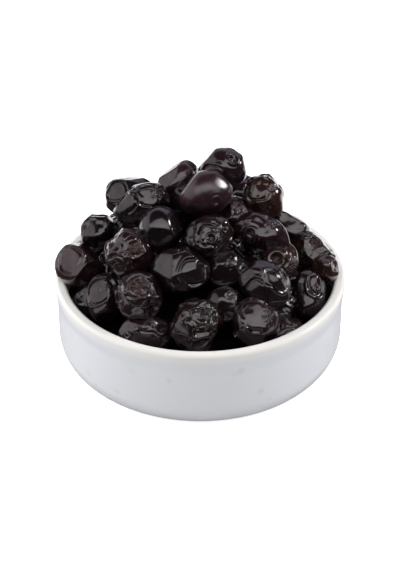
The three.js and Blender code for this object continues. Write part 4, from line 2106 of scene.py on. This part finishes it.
@dataclass(frozen=True)
class Panel:
    """A lit studio panel: where it stands as seen from the dish, its size and its light."""

    name: str
    direction: tuple[float, float, float]
    distance: float
    width: float
    height: float
    radiance: float
    fading: float = 0.0
    colour: str = "ffffff"
    mirrored: bool = True
    aim_height: float = 0.045

    def _fade(self, light: bpy.types.Light) -> None:
        """Make the panel brighter in its middle, as a soft box is.

        Args:
            light: The panel's light.
        """
        light.use_nodes = True
        tree = light.node_tree
        tree.nodes.clear()
        middle = (0.5, 0.5, 0.0)
        steps: list[Step] = [
            ("place", "ShaderNodeNewGeometry", {}, {}),
            ("apart", "ShaderNodeVectorMath:DISTANCE", {}, ("place:Parametric", middle)),
            (
                "level",
                "ShaderNodeMapRange",
                {"interpolation_type": "SMOOTHSTEP"},
                {
                    "Value": "apart:Value",
                    "From Max": math.hypot(*middle),
                    "To Min": 1.0,
                    "To Max": 1.0 - self.fading,
                },
            ),
            (
                "glow",
                "ShaderNodeEmission",
                {},
                {"Color": linear(self.colour), "Strength": "level:Result"},
            ),
        ]
        made = add_nodes(tree, steps)
        end = tree.nodes.new("ShaderNodeOutputLight")
        tree.links.new(made["glow"].outputs[0], end.inputs["Surface"])

    def build(self) -> None:
        """Hang the panel so that it faces the heap."""
        light = bpy.data.lights.new(self.name, "AREA")
        light.shape = "RECTANGLE"
        light.size = self.width
        light.size_y = self.height
        light.energy = math.pi * self.width * self.height * self.radiance
        self._fade(light)
        lamp = bpy.data.objects.new(self.name, light)
        towards = Vector(self.direction).normalized()
        lamp.location = Vector((0, 0, self.aim_height)) + towards * self.distance
        lamp.rotation_euler = towards.to_track_quat("Z", "Y").to_euler()
        lamp.visible_glossy = self.mirrored
        bpy.context.scene.collection.objects.link(lamp)


@dataclass
class Studio:
    """Plain pale floor, soft panels and a dim room."""

    floor_size: float = 6.0
    room: str = "222223"
    wall: str = "ffffff"
    panels: tuple[Panel, ...] = (
        Panel("key_right", (0.78, 0.15, 0.58), 1.0, 0.26, 0.21, 38.0, 0.9),
        Panel("side_left", (-0.93, -0.05, 0.40), 1.2, 2.2, 1.4, 0.95, 0.5),
        Panel("overhead", (0.10, -0.54, 0.83), 1.0, 2.1, 0.8, 2.0, 0.5),
        Panel("backdrop", (0.0, 0.9, 0.60), 1.3, 2.0, 0.8, 0.6, 0.3, "dcd9ea"),
        Panel("fill_top", (0.0, 0.0, 1.0), 1.6, 3.0, 3.0, 0.2, mirrored=False),
        Panel("fill_left", (-1.0, 0.4, 0.5), 1.4, 1.6, 1.2, 4.1, mirrored=False),
        Panel("fill_right", (1.0, 0.4, 0.5), 1.4, 1.6, 1.2, 3.0, mirrored=False),
    )

    def build(self) -> None:
        """Lay the floor, hang the panels and set the room's dim light."""
        half = self.floor_size / 2
        corners = [(-half, -half, 0), (half, -half, 0), (half, half, 0), (-half, half, 0)]
        floor = new_mesh_object("studio_floor", np.array(corners), [[0, 1, 2, 3]])
        floor.data.materials.append(PaleFloor().material())
        for panel in self.panels:
            panel.build()
        world = bpy.data.worlds.new("studio_room")
        world.use_nodes = True
        world.node_tree.nodes.clear()
        made = add_nodes(
            world.node_tree,
            [
                ("ray", "ShaderNodeLightPath", {}, {}),
                (
                    "tone",
                    "ShaderNodeMix",
                    {"data_type": "RGBA"},
                    {0: "ray:Is Camera Ray", 6: linear(self.room), 7: linear(self.wall)},
                ),
                ("room", "ShaderNodeBackground", {}, {"Color": "tone"}),
            ],
        )
        end = world.node_tree.nodes.new("ShaderNodeOutputWorld")
        world.node_tree.links.new(made["room"].outputs[0], end.inputs["Surface"])
        bpy.context.scene.world = world
        bpy.context.scene.view_settings.view_transform = "Standard"


@dataclass(frozen=True)
class ServingCamera:
    """Camera at the serving side, looking down at the heap."""

    distance: float = 0.7
    aim_height: float = 0.0315
    lift: float = SERVING_LIFT
    lens: float = 106.1
    sensor: float = 36.0
    nearest: float = 0.01

    def build(self) -> None:
        """Place the camera and make it the scene's own."""
        data = bpy.data.cameras.new("serving_camera")
        data.lens = self.lens
        data.sensor_width = self.sensor
        data.sensor_fit = "AUTO"
        data.clip_start = self.nearest
        camera = bpy.data.objects.new("serving_camera", data)
        lift = math.radians(self.lift)
        camera.location = (
            0.0,
            -self.distance * math.cos(lift),
            self.aim_height + self.distance * math.sin(lift),
        )
        camera.rotation_euler = (math.pi / 2 - lift, 0, 0)
        bpy.context.scene.collection.objects.link(camera)
        bpy.context.scene.camera = camera


def main() -> None:
    """Build the camera, the dish, the heap and the studio."""
    logging.basicConfig(level=logging.INFO, format="%(name)s: %(message)s")
    ServingCamera().build()
    dish = ServingDish()
    piece = dish.build()
    LOG.info("%s: %d faces", piece.name, len(piece.data.polygons))
    for piece in OliveHeap(dish).build():
        LOG.info("%s rides on root", piece.name)
    Studio().build()
    bpy.context.view_layer.update()


if __name__ == "__main__":
    main()
